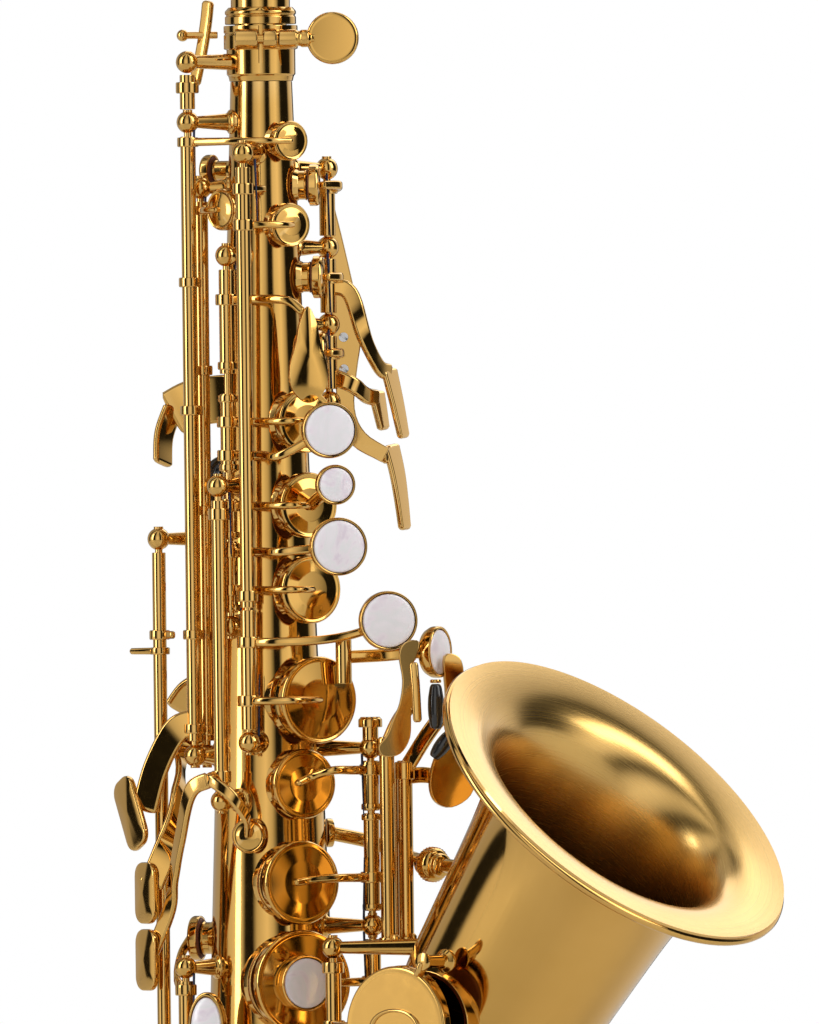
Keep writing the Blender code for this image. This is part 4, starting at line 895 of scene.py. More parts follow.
def octave_arm():
    """The arm that carries the thumb lever's push up beside the neck's ring, with a pin across it."""
    middle = around(-89, 17.8, 334)
    reach = [(-82, 19.4, 321.4), (-88, 18.4, 330), (-90, 17.4, 337), (-90, 16.6, 342.6)]
    shapes = [hinge_tube(LINE_E, 315.2, 323.8, 1.9), *wide_collars(LINE_E, 320.6)]
    shapes.append(bent([(-33, 19.5, 320.6), (-62, 20.5, 320.6), (-84, 19.5, 323)], 2.4, 1.6))
    shapes += [bent(reach, 1.6, 3.4, facing(0)), rod(middle - RIGHT * 5.4, middle + RIGHT * 3.4, 0.9)]
    shapes.append(ball(middle - RIGHT * 5.4, 1.5))
    key("octave_arm", shapes)


def receiver_screw():
    start = CLAMP - CLAMP_RIGHT * 4.5
    profile = [(0, 0), (1.1, 0), (1.1, 9.0), (2.35, 9.2), (2.35, 13.4), (1.9, 13.8), (1.9, 14.4), (2.2, 14.8),
               (2.2, 16.4), (1.3, 17.2), (1.3, 18.0), (0, 18.0)]
    head = frame_at(CLAMP + CLAMP_RIGHT * 18.0 - CLAMP_OUT * 0.9, CLAMP_OUT)
    wing = [(0, 0.25), (5.6, 0), (6.35, 0.2), (6.6, 0.9), (6.35, 1.6), (5.6, 1.8), (0, 1.45)]
    shank = turned(profile, along(start, start + CLAMP_RIGHT), 32, ease=0.3)
    key("receiver_screw", [shank, turned(wing, head, 64, ease=0.3)])


def neck_path(steps=30):
    """The neck's axis, as (centre, direction)."""
    stations = [(Vector((0, 0, 325.0)), UP)]
    for i in range(steps + 1):
        turn = NECK_TURN * i / steps
        x, z = NECK_TURN_RADIUS * (math.cos(turn) - 1), NECK_BEND_Z + NECK_TURN_RADIUS * math.sin(turn)
        stations.append((Vector((x, 0, z)), Vector((-math.sin(turn), 0, math.cos(turn)))))
    return stations


def neck_end(distance):
    centre, direction = neck_path()[-1]
    return centre + direction * distance, direction


def neck():
    hinge = Hinge("neck")
    stations = neck_path()
    count = len(stations) - 1
    tube = [(*stations[0], 6.5), (UP * 336.3, UP, 6.5), (UP * 336.6, UP, 7.4)]
    for i, (centre, direction) in enumerate(stations[1:]):
        tube.append((centre, direction, 7.4 - 1.9 * i / (count - 1)))
    tube.append((*neck_end(41.0), 4.6))
    collar = [(6.2, 336.35), (8.9, 336.35), (8.9, 338.2), (8.6, 338.4), (8.6, 338.7), (8.9, 338.9),
              (8.9, 339.6),
              (8.0, 340.6), (6.8, 340.6)]
    shapes = [wide_tube(tube, 72), turned(collar, HERE, 90, True, 0.2)]
    for side in (-1, 1):
        ear = Vector((12.3, side * 5.4, NECK_KEY_Z))
        shapes += [rod(Vector((3.2, side * 4.9, NECK_KEY_Z)), ear, 1.2), ball(ear, 1.7)]
    centre, direction = neck_path(6)[4]
    outward = Vector((direction.z, 0, -direction.x))
    bottom, top = centre + outward * 5.5, centre + outward * 9.2
    pip = [(0, 0), (2.6, 0), (2.6, 1.0), (1.9, 1.4), (1.9, 3.7), (0, 3.7)]
    shapes.append(turned(pip, along(bottom, top), 30))
    last, heading = neck_end(2.0)
    band = [(5.0, 0), (6.0, 0.2), (6.0, 1.6), (5.0, 1.8)]
    shapes.append(turned(band, along(last, last + heading), 60, True))
    piece("neck_tube", shapes, hinge=hinge)

    low, high = neck_end(17.0)[0], neck_end(40.6)[0]
    length = (high - low).length
    cork = [(5.3, 0), (6.2, 0), (6.6, 0.9), (6.4, length - 0.4), (6.1, length), (5.3, length)]
    piece("neck_cork", [turned(cork, along(low, high), 60, True)], "cork", hinge)
    mouthpiece(hinge)
    neck_octave_key(outward, top)


def mouthpiece(hinge):
    """A bored shank that turns into a beak: flat below for the reed, sloping above to a thin tip."""
    start, direction = neck_end(26.0)
    down = Vector((-direction.z, 0, direction.x))
    flat, slope_from = 6.4, 38
    turns = [math.tau * i / 72 for i in range(72)]
    rings = []
    for distance in (22.0, 0.0):
        centre = start + direction * distance
        rings.append([centre + (down * math.cos(t) + ACROSS * math.sin(t)) * 7.0 for t in turns])
    for distance, radius in ((0, 8.7), (0.6, 9.2), (3, 9.3), (4.4, 9.0), (14, 8.95), (27.6, 8.8),
                             (28.0, 8.8), (38, 8.6),
                             (41, 8.55), (45, 8.45), (52, 8.3), (60, 8.1), (66, 8.0)):
        slope = radius if distance < slope_from else radius - (distance - slope_from) / 28 * (radius + 5.4)
        narrow = 1 - max(distance - 44, 0) * 0.012
        ring = []
        for t in turns:
            low = min(radius * math.cos(t), flat if distance >= 28.0 else radius)
            middle = start + direction * distance + ACROSS * radius * math.sin(t) * narrow
            ring.append(middle + down * max(low, -slope))
        rings.append(ring)
    piece("mouthpiece", [shape_of_rings(rings)], "black", hinge)

    rings = []
    flat, half = flat + 0.35, 5.1
    for distance, thick in ((28.6, 0.86), (29.2, 1.0), (36, 1.0), (44.0, 1.0), (46, 0.86), (50, 0.7),
                            (56.0, 0.42),
                            (62, 0.2), (65.4, 0.1)):
        centre = start + direction * distance
        ring = [centre + down * flat - ACROSS * half, centre + down * flat + ACROSS * half]
        for step in range(17):
            across = half - 2 * half * step / 16
            back = math.sqrt(9.15**2 - across**2) - flat
            ring.append(centre + down * (flat + back * thick) + ACROSS * across)
        rings.append(ring)
    piece("reed", [shape_of_rings(rings)], "cane", hinge)

    band_start = neck_end(50)[0]
    band = [(9.45, 0), (10.1, 0), (10.1, 1.6), (9.85, 2.0), (9.85, 12.0), (10.1, 12.4), (10.1, 14),
            (9.45, 14)]
    shapes = [turned(band, along(band_start, band_start + direction), 96, True, 0.2)]
    for distance in (53, 61):
        centre = neck_end(distance)[0] + down * 11.9
        tip = centre + ACROSS * 8
        shapes += [rod(centre - ACROSS * 7, tip, 1.1),
                   turned([(0, 0), (2.6, 0), (2.6, 2.8), (0, 3.2)], along(tip, centre + ACROSS * 12), 32)]
        for spot in (-4, 4):
            lug = along(centre + ACROSS * (spot - 1.6), centre + ACROSS * (spot + 1.6))
            shapes.append(turned([(1.05, 0), (1.9, 0), (1.9, 3.2), (1.05, 3.2)], lug, 24, True))
            foot = centre + ACROSS * spot
            shapes.append(rod(foot - down * 2.2, foot - down * 1.0, 1.5, 20))
    piece("ligature", shapes, hinge=hinge)


def neck_octave_key(outward, pip):
    axle = Vector((12.3, 0, NECK_KEY_Z))
    ring = turned([(10.6, -1), (12.6, -1), (12.6, 1), (10.6, 1)], Matrix.Translation((0, 0, 345.2)), 90,
                  True, 0.5)
    drop = bent([axle, Vector((13.0, 0, 348.5)), Vector((11.8, 0, 345.2))], 3.0, 1.5, ACROSS)
    over = pip + outward * (GAP + 2.4)
    lever = bent([axle, Vector((12.6, 0, 357.5)), over + Vector((4.6, 0, -3.0)), over], 3.0, 1.4, ACROSS)
    shapes = [rod(axle - ACROSS * 3.3, axle + ACROSS * 3.3, 1.6), ring, drop, lever]
    hinge = key("neck_octave_key", shapes + [cup_at(pip, outward, 3.6, 2.6, 40)])
    extra("pad_neck_octave", [pad_at(pip, outward, 3.6)], "leather", hinge)


# ---------------------------------------------------------------- small fixed parts


def against_body(theta, z, lift=0.35):
    """A frame just off the body's wall, facing out."""
    return frame_at(around(theta, body_radius(z) + lift, z), facing(theta))


def strap_ring():
    centre = around(-100, body_radius(196) + 6.6, 196)
    loop = turned(circle(5.0, 0, 1.1, 16), frame_at(centre, UP, Vector((0, 1, 0.01))), 56, True, 0)
    piece("strap_ring", [plate(against_body(-100, 196), 5, 14, 1.4), loop])


def thumb_hook():
    hook = bent([(-100, 14.4, 174), (-98, 19, 174), (-93, 25, 171), (-88, 29, 165)], 9, 1.8, facing(-10))
    piece("thumb_hook", [plate(against_body(-100, 171), 8, 20, 1.4), hook])
    screws = []
    for z in (178, 164):
        screws += slotted_screw(around(-100, body_radius(171) + 1.7, z), facing(-100), 1.5)
    extra("thumb_hook_screws", screws, "steel")


def thumb_rest():
    profile = [(0, 0), (5.6, 0), (5.6, 2.0), (6.6, 2.6), (6.6, 4.2), (5.4, 5.2), (3, 5.7), (0, 5.8)]
    piece("thumb_rest", [turned(profile, against_body(-96, 222), 60, ease=0.5)], "black")


def bell_brace():
    """A bent stay behind the key stack, from a disc on the body to a knurled nut and a foot on the bell."""
    out = facing(142)
    start = around(142, body_radius(134) + 0.35, 134)
    end, nut = Vector((61.2, 10.0, 124.5)), Vector((39.6, 15.2, 126.0))
    stay = curve([start + out * 0.8, Vector((17.0, 19.6, 131.5)), Vector((28.5, 19.8, 127.8)), nut], 10)
    half = [(4.25, 1.2), (3.6, 2.3), (2.9, 2.6), (2.9, 4.0), (2.0, 4.6), (0, 4.6)]
    place = along(nut, end)
    shapes = [rod(start, start + out * 1.6, 3.6, 40), strap(stay, 3.5, 3.5), rod(nut, end, 1.8)]
    shapes.append(turned([(r, -h) for r, h in half[::-1]] + half, place, 48, ease=0.3))
    for i in range(30):
        ridge = around(90 + i * 12, 4.22, 0)
        shapes.append(rod(place @ (ridge - UP * 1.15), place @ (ridge + UP * 1.15), 0.2, 6, ease=0.08))
    piece("bell_brace", shapes)


def bell_key_guard():
    """The shield over the lowest bell key: a dished disc with a raised oval on it, on two feet."""
    seat, _, cup = seat_of("low_b_flat")
    face = seat + FRONT * (CUP_HEIGHT + 6.6)
    place = frame_at(face, FRONT)
    shield = [(0, 0), (cup - 0.4, 0), (cup, 0.7), (cup - 0.5, 1.4), (cup - 1.6, 1.25), (0, 1.4)]
    raised = place @ Matrix.Translation((0, 0, 1.35)) @ Matrix.Diagonal((1, 0.62, 1, 1))
    oval = [(7.2 + 0.75 * math.cos(math.tau * i / 12), 0.55 * math.sin(math.tau * i / 12)) for i in range(12)]
    shapes = [turned(shield, place, 110, ease=0.3), turned(oval, raised, 90, True, 0)]
    for turn in (62, -62):
        out = Vector((math.cos(math.radians(turn)), 0, math.sin(math.radians(turn))))
        top, side = face + out * (cup - 1) + FRONT * 0.55, face + out * (cup + 3.2) + FRONT * 0.4
        x, radius = bell_at(side.z)
        depth = math.sqrt(max(radius**2 - (side.x - x) ** 2, 1.0)) + 2.8
        low = Vector((side.x, -depth, side.z))
        shapes.append(strap([top, top.lerp(side, 0.5), side + FRONT * 0.1], 3.4, 1.5, ACROSS))
        tall = (side - low).length
        foot = [(0, -0.3), (3.0, -0.3), (3.0, 0.6), (1.9, 1.6), (1.6, 2.4), (1.6, tall - 0.2), (2.2, tall),
                (2.2, tall + 1.0), (0, tall + 1.2)]
        shapes.append(turned(foot, along(low, side), 30))
    piece("bell_key_guard", shapes)


# ---------------------------------------------------------------- keys

STACK_FACING = facing(60)


def left_stack():
    line = LINE_LEFT_STACK
    for hole, low, high, touch_z, touch, size in (
        ("b", 224.4, 244, 228.6, (75, 29.5, 234.6), 7.0),
        ("bis", 207.6, 217.8, None, (78, 29.5, 221), 5.0),
        ("a", 189.4, 207.2, 204.5, (80, 29.0, 205.6), 7.25),
    ):
        z, centre = HOLES[hole][1], around(*touch)
        under = centre - STACK_FACING * 1.1
        shapes = [hinge_tube(line, low, high), *wide_collars(line, z),
                  *collars(line, 2.45, 1.8, low + 1.2, high - 1.2)]
        shapes.append(arm_to(hole, line, z, (21, 15.4, z), (39, 17.6, z), (55, 21.6, z), (66, 21.7, z)))
        if touch_z:
            places = [(*line, touch_z), (21, 15.4, touch_z), (38, 18.0, touch_z), (52, 24.4, touch_z), under]
            shapes += [bent(places, 2.2, 1.6), *wide_collars(line, touch_z)]
        else:
            shapes.append(rod(around(*crown_of(hole)), under, 1.6))
        shapes.append(pearl_ring(centre, STACK_FACING, size))
        pearl(hole, key(hole + "_key", shapes, hole, True), centre, STACK_FACING, size)


def front_f_key():
    line = LINE_LEFT_STACK
    places = [(4, 16.3, 267.5), (20, 15.4, 267.5), (38, 17.4, 267.5), (54, 22.0, 267.0), (62, 24.6, 264.0)]
    half = [(0, 12), (2.2, 8), (3.2, 3), (4.9, -3), (4.6, -8), (1.6, -11.6)]
    outline = curve(half + [(-x, y) for x, y in half[:0:-1]], 6, True)
    shapes = [hinge_tube(line, 249, 275), *wide_collars(line, 267.5), *collars(line, 2.5, 2, 251)]
    shapes += [bent(places, 2.2, 1.8), slab(outline, frame_at(around(64, 24.6, 253.5), facing(55)), 1.5,
                                            0.4, 0.9)]
    key("front_f_key", shapes)


def g_key():
    line = LINE_G
    centre = around(99, 34, 187)
    places = [(25, 21, 182), (45, 24.0, 182), (70, 26.5, 182.4), (88, 29.5, 184), centre - STACK_FACING * 1.4]
    shapes = [hinge_tube(line, 160.2, 190), *wide_collars(line, 182, 167.4), bent(places, 2.2, 1.6)]
    shapes.append(arm_to("g", line, 167.4, (36, 24.2, 167.4), (54, 25.4, 167.4), (66, 22.6, 167.4)))
    shapes.append(pearl_ring(centre, STACK_FACING, 7.4))
    pearl("g", key("g_key", shapes, "g", True), centre, STACK_FACING, 7.4)


def right_stack():
    line = LINE_RIGHT_STACK
    for hole, low, high, arm_z, touch in (
        ("g_sharp", 139.6, 152.1, 149.8, None),
        ("f_sharp", 114.6, 139.0, 123.0, None),
        ("f", 83.0, 107.6, 97.0, 7.0),
        ("e", 53.0, 82.4, 68.0, 7.0),
        ("d", 25.0, 52.4, 38.0, 7.0),
    ):
        theta, z = HOLES[hole][:2]
        top = crown_of(hole, 0)[1]
        places = [(103, 28, arm_z), (90, 26.6, arm_z), (78, 24.6, arm_z),
                  (theta + 4, top + 0.3, (arm_z + z) / 2),
                  (theta - 8, top + 0.5, z)]
        shapes = [hinge_tube(line, low, high), *wide_collars(line, arm_z),
                  *collars(line, 2.5, 1.6, low + 1.0, high - 1.0)]
        shapes.append(bent(places, 2.4, 1.9, taper=0.75))
        centre = around(theta, top + 0.8, z) - facing(theta + 90) * 0.8
        if touch:
            shapes.append(pearl_ring(centre, facing(theta), touch, depth=1.4))
        hinge = key(hole + "_key", shapes, hole, hole != "g_sharp")
        if touch:
            pearl(hole, hinge, centre, facing(theta), touch)


def palm_key(name, low, high, arm_z, shapes):
    line = LINE_PALM
    theta, z = HOLES[name][:2]
    shapes = [hinge_tube(line, low, high), *collars(line, 2.7, 2.8, arm_z - 0.2), *shapes]
    shapes.append(arm_to(name, line, arm_z, (147, 19.6, arm_z), (136, 19.0, z), width=2.8))
    return key(name + "_key", shapes, name)


def palm_keys():
    """Three keys for the left palm, on one line behind the body's right edge."""

    def blade(points, width=8.5):
        return bent(points, width, 1.6, facing(14), 0.55, 0.5)

    line, depth, touch_depth = LINE_PALM, -13.6, -18.5
    left = [(14.6, 292), (15.4, 280), (16.4, 268), (17.0, 256), (17.6, 246), (18.6, 238), (21.5, 231),
            (29.0, 226.5)]
    right = [(17.6, 292), (20.2, 281), (23.4, 266), (24.4, 259), (23.0, 249), (22.4, 240), (25.0, 234),
             (31.0, 230)]
    place = Matrix((RIGHT, UP, VIEW)).transposed().to_4x4()
    place.translation = VIEW * (depth - 0.75)
    touch = [at(31.2, -18, 231), at(32.8, -18, 224), at(33.8, -18, 217), at(34.6, -18, 209.5)]
    hinge = palm_key("palm_f", 283.4, 297.0, 295.5, [
        sheet(curve(left, 4) + curve(right, 4)[::-1], place, 1.5),
        rod(around(*line, 286.5), at(16.6, depth, 286.5), 1.4),
        rod(around(*line, 291.0), at(16.4, depth, 290.0), 1.4),
        strap([at(29.4, depth, 228.3), at(30.5, -16, 228.5), at(31.5, -18.0, 228.8)], 4.4, 1.8),
        blade(touch, 9.0),
    ])
    screws = slotted_screw(at(19.8, depth + 0.7, 258), VIEW,
                           1.2) + slotted_screw(at(19.8, depth + 0.7, 250), VIEW, 1.2)
    extra("palm_f_screws", screws, "steel", hinge)
    stem = [(*line, 271), at(21.5, -8.6, 269), at(25, -9.4, 258), at(28.6, -14.0, 250.5),
            at(31.4, touch_depth, 249.0)]
    touch = [at(31.0, touch_depth, 250), at(33.0, touch_depth, 241), at(34.6, touch_depth, 232.5)]
    palm_key("palm_e_flat", 264.1, 277.6, 273.0, [bent(stem, 4.2, 1.7), blade(touch)])
    stem = [(*line, 248.5), at(22, -8.6, 246), at(25.2, -12.2, 243.4), at(28.2, -18.0, 242.6)]
    touch = [at(27.8, touch_depth, 244.4), at(28.8, touch_depth, 239), at(29.6, touch_depth, 234.6)]
    palm_key("palm_d", 245.0, 258.3, 254.0, [bent(stem, 4.2, 1.7), blade(touch)])


def paddle(u, d, z, width=9.0, height=15.4, lean=0.0):
    """A touch plate for the side of the right hand."""
    place = frame_at(at(u, d, z), facing(-20), Vector((lean, 0, 1)))
    return plate(place, width, height, 1.6, 0.36, 0.5, 0.5)


def side_keys():
    line = LINE_E
    key("high_e_key", [
        hinge_tube(line, 157.4, 308.4, 1.9),
        arm_to("high_e", line, 307.0, (-12, 16.4, 307), (15, 15.6, 307), (45, 15.4, 307)),
        bent([(-33, 19.5, 162), (-38, 24, 160), (-44, 28.5, 151), (-47, 31.5, 140)], 6.8, 1.7),
        paddle(-34.0, 0.6, 139.5, 9.0, 19.0, -0.55),
        *collars(line, 2.7, 2.4, 307, 184, 160.5, 272, 240),
    ], "high_e")
    line = LINE_SIDE_C
    stem = [(-50, 15.5, 160.2), (-57, 21.4, 156.5), (-50, 22.6, 145), (-42, 25.5, 133), (-43.5, 30.4, 121)]
    key("side_c_key", [
        hinge_tube(line, 157.4, 292.2, 1.8),
        arm_to("side_c", line, 290, (-38, 15.4, 290), (-24, 15.4, 290)),
        bent(stem, 6.4, 1.7),
        paddle(-30.4, 4.2, 119.6),
        *collars(line, 2.5, 2.4, 290, 250, 215, 160.0),
    ], "side_c")
    line = LINE_SIDE_B_FLAT
    stem = [(4, 26.4, 148.0), (-8, 27.2, 145), (-18, 26.8, 134), (-26, 26.6, 125), (-32, 26.8, 116),
            (-43.5, 30.4, 104)]
    reach = [(5.5, 22, 148.4), (4, 26.4, 148.0), (16, 26.6, 144.5), (24, 24.0, 138.5),
             crown_of("side_b_flat")]
    key("side_b_flat_key", [
        hinge_tube(line, 146.2, 217.4, 1.8),
        bent(reach, 3.0, 1.5),
        bent(stem, 4.2, 1.7),
        paddle(-30.4, 4.2, 102.9),
        *collars(line, 2.6, 3.0, 214),
        *collars(line, 2.5, 3.0, 148.6),
    ], "side_b_flat")


def high_f_sharp_keys():
    line = LINE_F_SHARP
    key("high_f_sharp_lever", [
        hinge_tube(line, 64.4, 204.6, 1.7),
        *collars(line, 2.6, 2.4, 184),
        *collars(line, 2.5, 1.8, 180),
        bent([(-52, 27, 184), (-46, 25.4, 184), (-38, 24.2, 184)], 2.2, 1.5, taper=0.85),
        bent([(-52, 27, 180), (-54, 31, 180), (-56, 34.5, 180)], 1.8, 2.4, taper=0.85),
        paddle(-32.4, -5.0, 76.0, 8.0, 13.0),
        strap([around(-52, 27, 76), around(-56, 30, 76), around(-61.0, 33.4, 76)], 4.0, 1.7),
    ])
    line = LINE_G
    key("high_f_sharp_key", [
        hinge_tube(line, 190.6, 300.4, 1.9),
        *collars(line, 2.7, 2.8, 286, 295, 193.5),
        arm_to("high_f_sharp", line, 286, (38, 20.2, 286), (54, 18.6, 286)),
        bent([(25, 21, 295), (34, 17.5, 295), (40, 15.0, 295)], 2.0, 1.5, taper=0.85),
    ], "high_f_sharp")


def octave_keys():
    line = LINE_OCTAVE
    key("octave_lever", [
        hinge_tube(line, 232.0, 262.0),
        bent([(-122, 15.5, 243), (-112, 20.5, 243), (-100, 26.5, 242), (-92, 31.0, 239)], 12.0, 1.7),
        bent([(-93, 30.6, 241), (-88, 31.6, 234), (-84, 30.6, 226.5)], 1.7, 7.0, facing(-88)),
        *wide_collars(line, 234, 260),
    ])
    key("body_octave_key", [
        hinge_tube(line, 262.4, 305.4),
        arm_to("body_octave", line, 300, (-114, 18.0, 300), (-100, 18.8, 300), (-90, 18.4, 300)),
        *wide_collars(line, 300, 264.5),
    ], "body_octave")


def trill_key():
    line, out = LINE_TRILL, facing(12)
    centre = around(0, 25.4, 86)
    hinge = key("f_sharp_trill_key", [
        hinge_tube(line, 69.4, 97.6, 1.9),
        *collars(line, 2.7, 2.8, 95.4),
        *collars(line, 2.7, 4, 84),
        bent([(-25, 24, 95.4), (-38, 24.4, 98), (-54, 22.8, 103.5), crown_of("trill")], 2.6, 1.5),
        bent([(-25, 24, 84), (-12, 25.2, 84), centre - out * 0.5], 3.0, 1.5),
        pearl_ring(centre, out, 5.0, 1.8),
    ], "trill")
    pearl("trill", hinge, centre, out, 5.0, 1.8)


def facing_sheet(points, depth, normal, thickness=1.6):
    """A sheet cut to a smooth outline of (u, z) as seen from the front, at a depth and turned to normal."""
    middle_u = sum(u for u, _ in points) / len(points)
    middle_z = sum(z for _, z in points) / len(points)
    place = frame_at(at(middle_u, depth, middle_z), facing(normal))
    squeeze = math.cos(math.radians(normal - 38))
    return sheet(curve([((u - middle_u) / squeeze, z - middle_z) for u, z in points], 4, True), place,
                 thickness)


def little_finger_table():
    """The left little finger's four levers; each long one drives a key on the bell."""
    centre, out = at(41.5, 15.5, 179), facing(97)
    stem = [(86, 25.5, 178), at(29, 13.5, 178.4), at(36, 14.6, 179), centre - out * 0.6]
    tab = [(44.0, 178.5), (47.6, 177.5), (48.6, 174), (47.6, 170.8), (44.4, 171.5), (43.6, 175)]
    shapes = [hinge_tube((86, 25.5), 171.4, 182.6), pearl_ring(centre, out, 5.6, 1.15), bent(stem, 3.2, 1.6)]
    hinge = key("g_sharp_lever", [*shapes, facing_sheet(tab, 12.8, 48)])
    pearl("g_sharp", hinge, centre, out, 5.6, 1.15)

    low_c_sharp = [(32.6, 178.4), (34.2, 181.6), (37.6, 181.8), (37.0, 177.8), (36.2, 176.0), (37.6, 172.0),
                   (37.4, 168.4),
                   (35.6, 165.2), (35.2, 158.0), (32.6, 153.8), (28.6, 153.2), (27.2, 155.6), (29.4, 158.6),
                   (31.0, 162.6), (32.6, 166.4), (33.4, 172.0)]
    low_b = [(43.6, 178), (47.4, 177.6), (48.6, 172), (48.6, 164), (47.2, 161.4), (44.4, 162.2), (43.8, 170)]
    low_b_flat = [(40.4, 151.0), (43.0, 155.4), (48.6, 155.0), (51.4, 149.6), (49.8, 143.2), (45.0, 140.2),
                  (41.0, 141.6),
                  (39.6, 145.6)]
    bar = strap([at(36.4, 24.6, 176.6), at(36.8, 24.8, 171), at(37.2, 25.0, 161.6)], 1.5, 2.2, VIEW)
    for name, high, touch, normal, shapes in (
        ("low_c_sharp_lever", 158.0, at(35.2, 20.6, 166.0), 62, [facing_sheet(low_c_sharp, 23.4, 44), bar]),
        ("low_b_lever", 152.0, at(47.2, 17.0, 168.0), 66, [facing_sheet(low_b, 17.6, 58)]),
        ("low_b_flat_lever", 150.0, at(45.3, 14.0, 147.2), 66, [facing_sheet(low_b_flat, 14.6, 58, 1.7)]),
    ):
        line, low, out = line_of(name), 104.5, facing(75)
        start, foot = around(*line, high - 2.5), around(*line, low + 3)
        stem = [start, start.lerp(touch, 0.5) + UP, touch + facing(normal) * 0.6]
        key(name, [
            *shapes,
            hinge_tube(line, low, high, 1.9),
            bent(stem, 4.0, 1.7),
            strap([foot, foot + out * 1.8, foot + out * 3.6], 3.0, 1.6),
            *collars(line, 2.6, 4.4, high - 2.5),
            *collars(line, 2.5, 3, low + 2),
        ])


def rollers():
    """Two rollers between the touch plates, so that the little finger can slide from one to the next."""
    slant = (RIGHT * 4.7 + UP * 6.0).normalized()
    for name, half, carrier in (("upper_roller", UP * 5.6, "low_b_lever"),
                                ("lower_roller", slant * 4.2, "low_b_flat_lever")):
        centre, tall = place_of(name), half.length * 2
        profile = [(0, 0), (1.1, 0), (1.5, 0.7), (1.95, tall * 0.3), (2.05, tall * 0.5), (1.95, tall * 0.7),
                   (1.5, tall - 0.7), (1.1, tall), (0, tall)]
        piece(name, [turned(profile, along(centre - half, centre + half), 36, ease=0.4)], "black",
              Hinge(name))
        extra(name + "_end", [rod(centre + half * 1.04, centre + half * 1.2, 1.4, 24)], "gold",
              Hinge(carrier))


def bell_keys():
    for hole, low, high, opened in (
        ("low_c_sharp", 9.4, 27.4, False), ("low_b", 33.8, 61.3, True), ("low_b_flat", 68.0, 102.4, True),
    ):
        seat, side, cup = seat_of(hole)
        middle = BELL_LINE + UP * seat.z
        edge = seat + Vector((-cup - 0.5, -CUP_HEIGHT - 0.9, 0))
        places = [middle, middle.lerp(edge, 0.5) + side * 2.0, edge + Vector((1.2, -0.6, 0)),
                  seat + side * (CUP_HEIGHT + 0.2)]
        shapes = [rod(BELL_LINE + UP * low, BELL_LINE + UP * high, TUBE, 26),
                  bent(places, 3.4, 1.8, taper=0.7)]
        for height in (low + 1.4, seat.z, high - 1.4):
            start = BELL_LINE + UP * (height - 1.4)
            shapes.append(rod(start, start + UP * 2.8, 2.8, 30, ease=0.35))
        key(hole + "_key", shapes, hole, opened)


def right_little_finger_keys():
    line = LINE_E_FLAT
    key("low_e_flat_key", [
        hinge_tube(line, 12.4, 49.6),
        plate(frame_at(around(-20, 31.0, 43), facing(-12)), 13, 8.0, 1.7, 0.28, 0.4, 0.45),
        arm_to("low_e_flat", line, 24, (-52, 27.4, 24), (-66, 26.8, 24), width=2.8),
        bent([(*line, 43), (-32, 29.6, 43), (-22, 31.4, 43)], 4.0, 1.8),
        *wide_collars(line, 24, 43, 14),
    ], "low_e_flat")
    line = LINE_LOW_C
    bridge = [(*line, 17.4), (-24, 29.4, 16.4), (-24, 30.4, 12), (-24, 29.4, 7.6), (*line, 6.6)]
    crown = LOW_C_SEAT + FRONT * (CUP_HEIGHT + 0.3)
    key("low_c_key", [
        hinge_tube(line, -22.0, 8.6),
        hinge_tube(line, 15.4, 43.6),
        plate(frame_at(around(-9, 31.0, 33.0), facing(-8)), 13, 8.0, 1.7, 0.28, 0.4, 0.45),
        bent(bridge, 2.6, 1.6, facing(66)),
        bent([(*line, 33), (-18, 29.6, 33), (-9, 31.6, 33)], 4.0, 1.8),
        bent([(*line, -19.5), LOW_C_SEAT + Vector((-14.5, -CUP_HEIGHT - 1.6, 0)), crown], 3.2, 1.8),
        *wide_collars(line, -19.5, 33, 41),
    ], "low_c", True)


# ---------------------------------------------------------------- floor, light and camera

FLOOR_REACH = 1.35
CAMERA_DISTANCE = 6.0
CAMERA_SENSOR = 36
CAMERA_WIDTH = 0.256
CAMERA_ROLL = math.radians(-0.68)

# The studio's brightness round the horizon, as (share of a turn, level), and from the floor up
STUDIO_STOPS = (
    (0.0, 0.55), (0.035, 0.5), (0.045, 0.02), (0.085, 0.02), (0.1, 0.85), (0.18, 1.2), (0.212,
                                                                                        0.02), (0.256, 0.012),
    (0.28, 0.75), (0.335, 1.15), (0.37, 0.75), (0.398, 0.015), (0.43, 0.015), (0.45, 1.0), (0.5,
                                                                                            1.25), (0.54,
                                                                                                    0.6),
    (0.56, 0.012), (0.66, 0.02), (0.69, 0.75), (0.76, 1.0), (0.79, 0.02), (0.84, 0.03), (0.9, 0.45), (1.0,
                                                                                                      0.55),
)
STUDIO_RISE = ((0.0, 0.55), (0.3, 0.8), (0.44, 0.95), (0.62, 1.0), (0.86, 0.7), (1.0, 1.0))
WARM = (1.0, 0.99, 0.97)


def stage_floor():
    steps = 96
    turns = [math.tau * i / steps for i in range(steps)]
    low = START_BOUNDS[0].z - 0.001
    ring = [(math.cos(turn) * FLOOR_REACH, math.sin(turn) * FLOOR_REACH, low) for turn in turns]
    mesh = bpy.data.meshes.new("floor")
    mesh.from_pydata(ring, [], [tuple(range(steps))])
    paint = surface("floor_paint", (0.84, 0.84, 0.83), (0.88, 0.88, 0.87), 6, (0.5, 0.7),
                    bump=(80, 0.02, 0.001))
    mesh.materials.append(paint)
    floor = bpy.data.objects.new("floor", mesh)
    bpy.context.scene.collection.objects.link(floor)


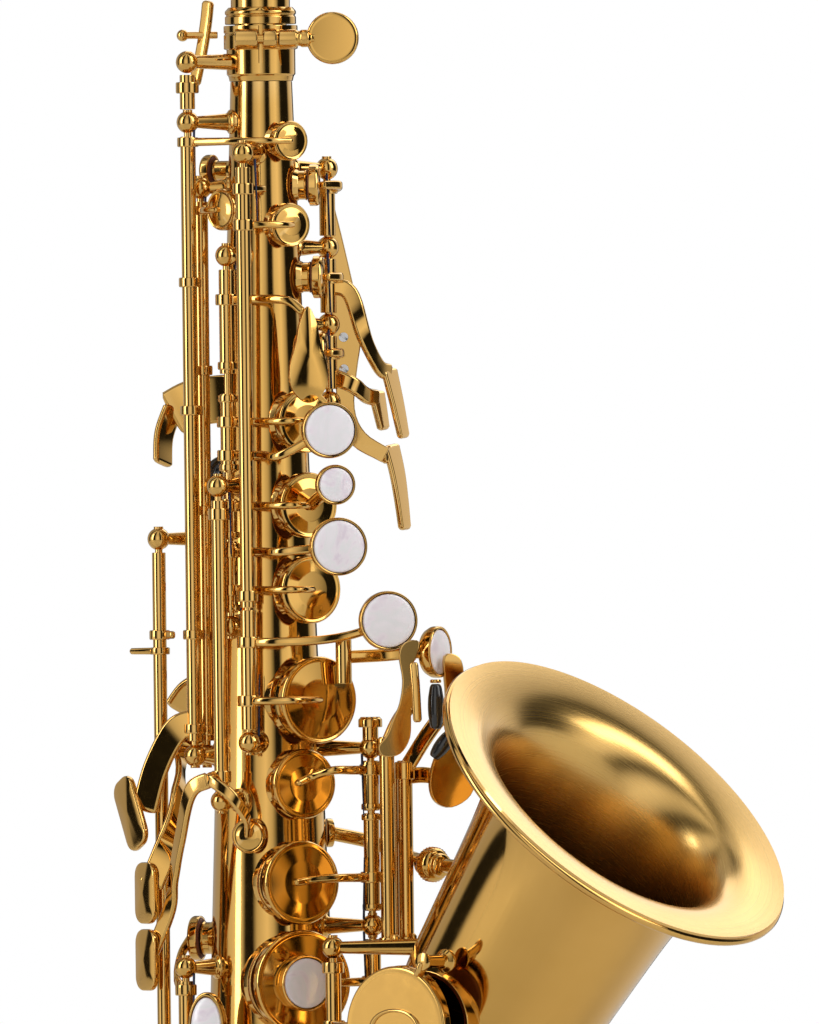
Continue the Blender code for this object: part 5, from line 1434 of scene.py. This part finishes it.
def stage_world():
    """A white studio: bright panels with dark gaps between, so that the metal has something to reflect."""
    world = bpy.data.worlds.new("studio")
    bpy.context.scene.world = world
    world.use_nodes = True
    made = Graph(world.node_tree)
    made.nodes.clear()
    place = made.nodes.new("ShaderNodeTexCoord").outputs["Generated"]
    x, y, z = made.add("SeparateXYZ", {"Vector": place}).outputs
    angle = made.add("Math", {0: y, 1: x}, operation="ARCTAN2").outputs["Value"]
    panels = [(spot, tuple(level * tint for tint in WARM)) for spot, level in STUDIO_STOPS]
    rises = [(spot, (level, level, level)) for spot, level in STUDIO_RISE]
    sides = made.ramp(made.ranged(angle, 0, 1, -math.pi, math.pi), panels)
    heights = made.ramp(made.ranged(z, 0, 1, -1, 1), rises)
    seen = made.nodes.new("ShaderNodeLightPath").outputs["Is Camera Ray"]
    backdrop = made.mixed(seen, made.mixed(1.0, sides, heights, "MULTIPLY"), (1.0, 1.0, 1.0))
    light = made.add("Background", {"Color": backdrop, "Strength": 1.0}).outputs["Background"]
    made.add("OutputWorld", {"Surface": light})


def softbox(name, azimuth, elevation, distance, size, power, target):
    back = around(azimuth, math.cos(math.radians(elevation)), math.sin(math.radians(elevation)))
    lamp = bpy.data.lights.new(name, "AREA")
    lamp.shape = "RECTANGLE"
    lamp.size, lamp.size_y = size
    lamp.energy = power
    light = bpy.data.objects.new(name, lamp)
    light.location = target + back * distance
    light.rotation_mode = "QUATERNION"
    light.rotation_quaternion = (-back).to_track_quat("-Z", "Y")
    light.visible_camera = False
    bpy.context.scene.collection.objects.link(light)


def stage_camera():
    target = (at(35.8, 0, 214) + OFFSET) * METRE
    camera = bpy.data.objects.new("camera", bpy.data.cameras.new("camera"))
    bpy.context.scene.collection.objects.link(camera)
    camera.data.lens = CAMERA_SENSOR * CAMERA_DISTANCE / CAMERA_WIDTH
    camera.data.sensor_width = CAMERA_SENSOR
    camera.data.clip_start = 0.05
    camera.location = target + VIEW * CAMERA_DISTANCE
    turn = (-VIEW).to_track_quat("-Z", "Y").to_matrix().to_4x4() @ Matrix.Rotation(CAMERA_ROLL, 4, "Z")
    camera.rotation_mode = "QUATERNION"
    camera.rotation_quaternion = turn.to_quaternion()
    bpy.context.scene.camera = camera
    return target


def main():
    for build in (
        body_tube, needle_springs, bow, bell, rings, receiver, receiver_screw, octave_arm, neck, strap_ring,
        thumb_hook, thumb_rest, bell_brace, bell_key_guard, front_f_key, left_stack, g_key, right_stack,
        palm_keys,
        side_keys, high_f_sharp_keys, octave_keys, trill_key, little_finger_table, rollers, bell_keys,
        right_little_finger_keys, stage_floor, stage_world,
    ):
        build()
    target = stage_camera()
    softbox("key", 100, 35, 1.3, (0.5, 1.1), 6, target)
    softbox("fill", -30, 20, 1.4, (0.3, 1.2), 5, target)
    softbox("back", 200, 40, 1.4, (1.0, 1.0), 5, target)
    bpy.context.scene.view_settings.view_transform = "Standard"


main()
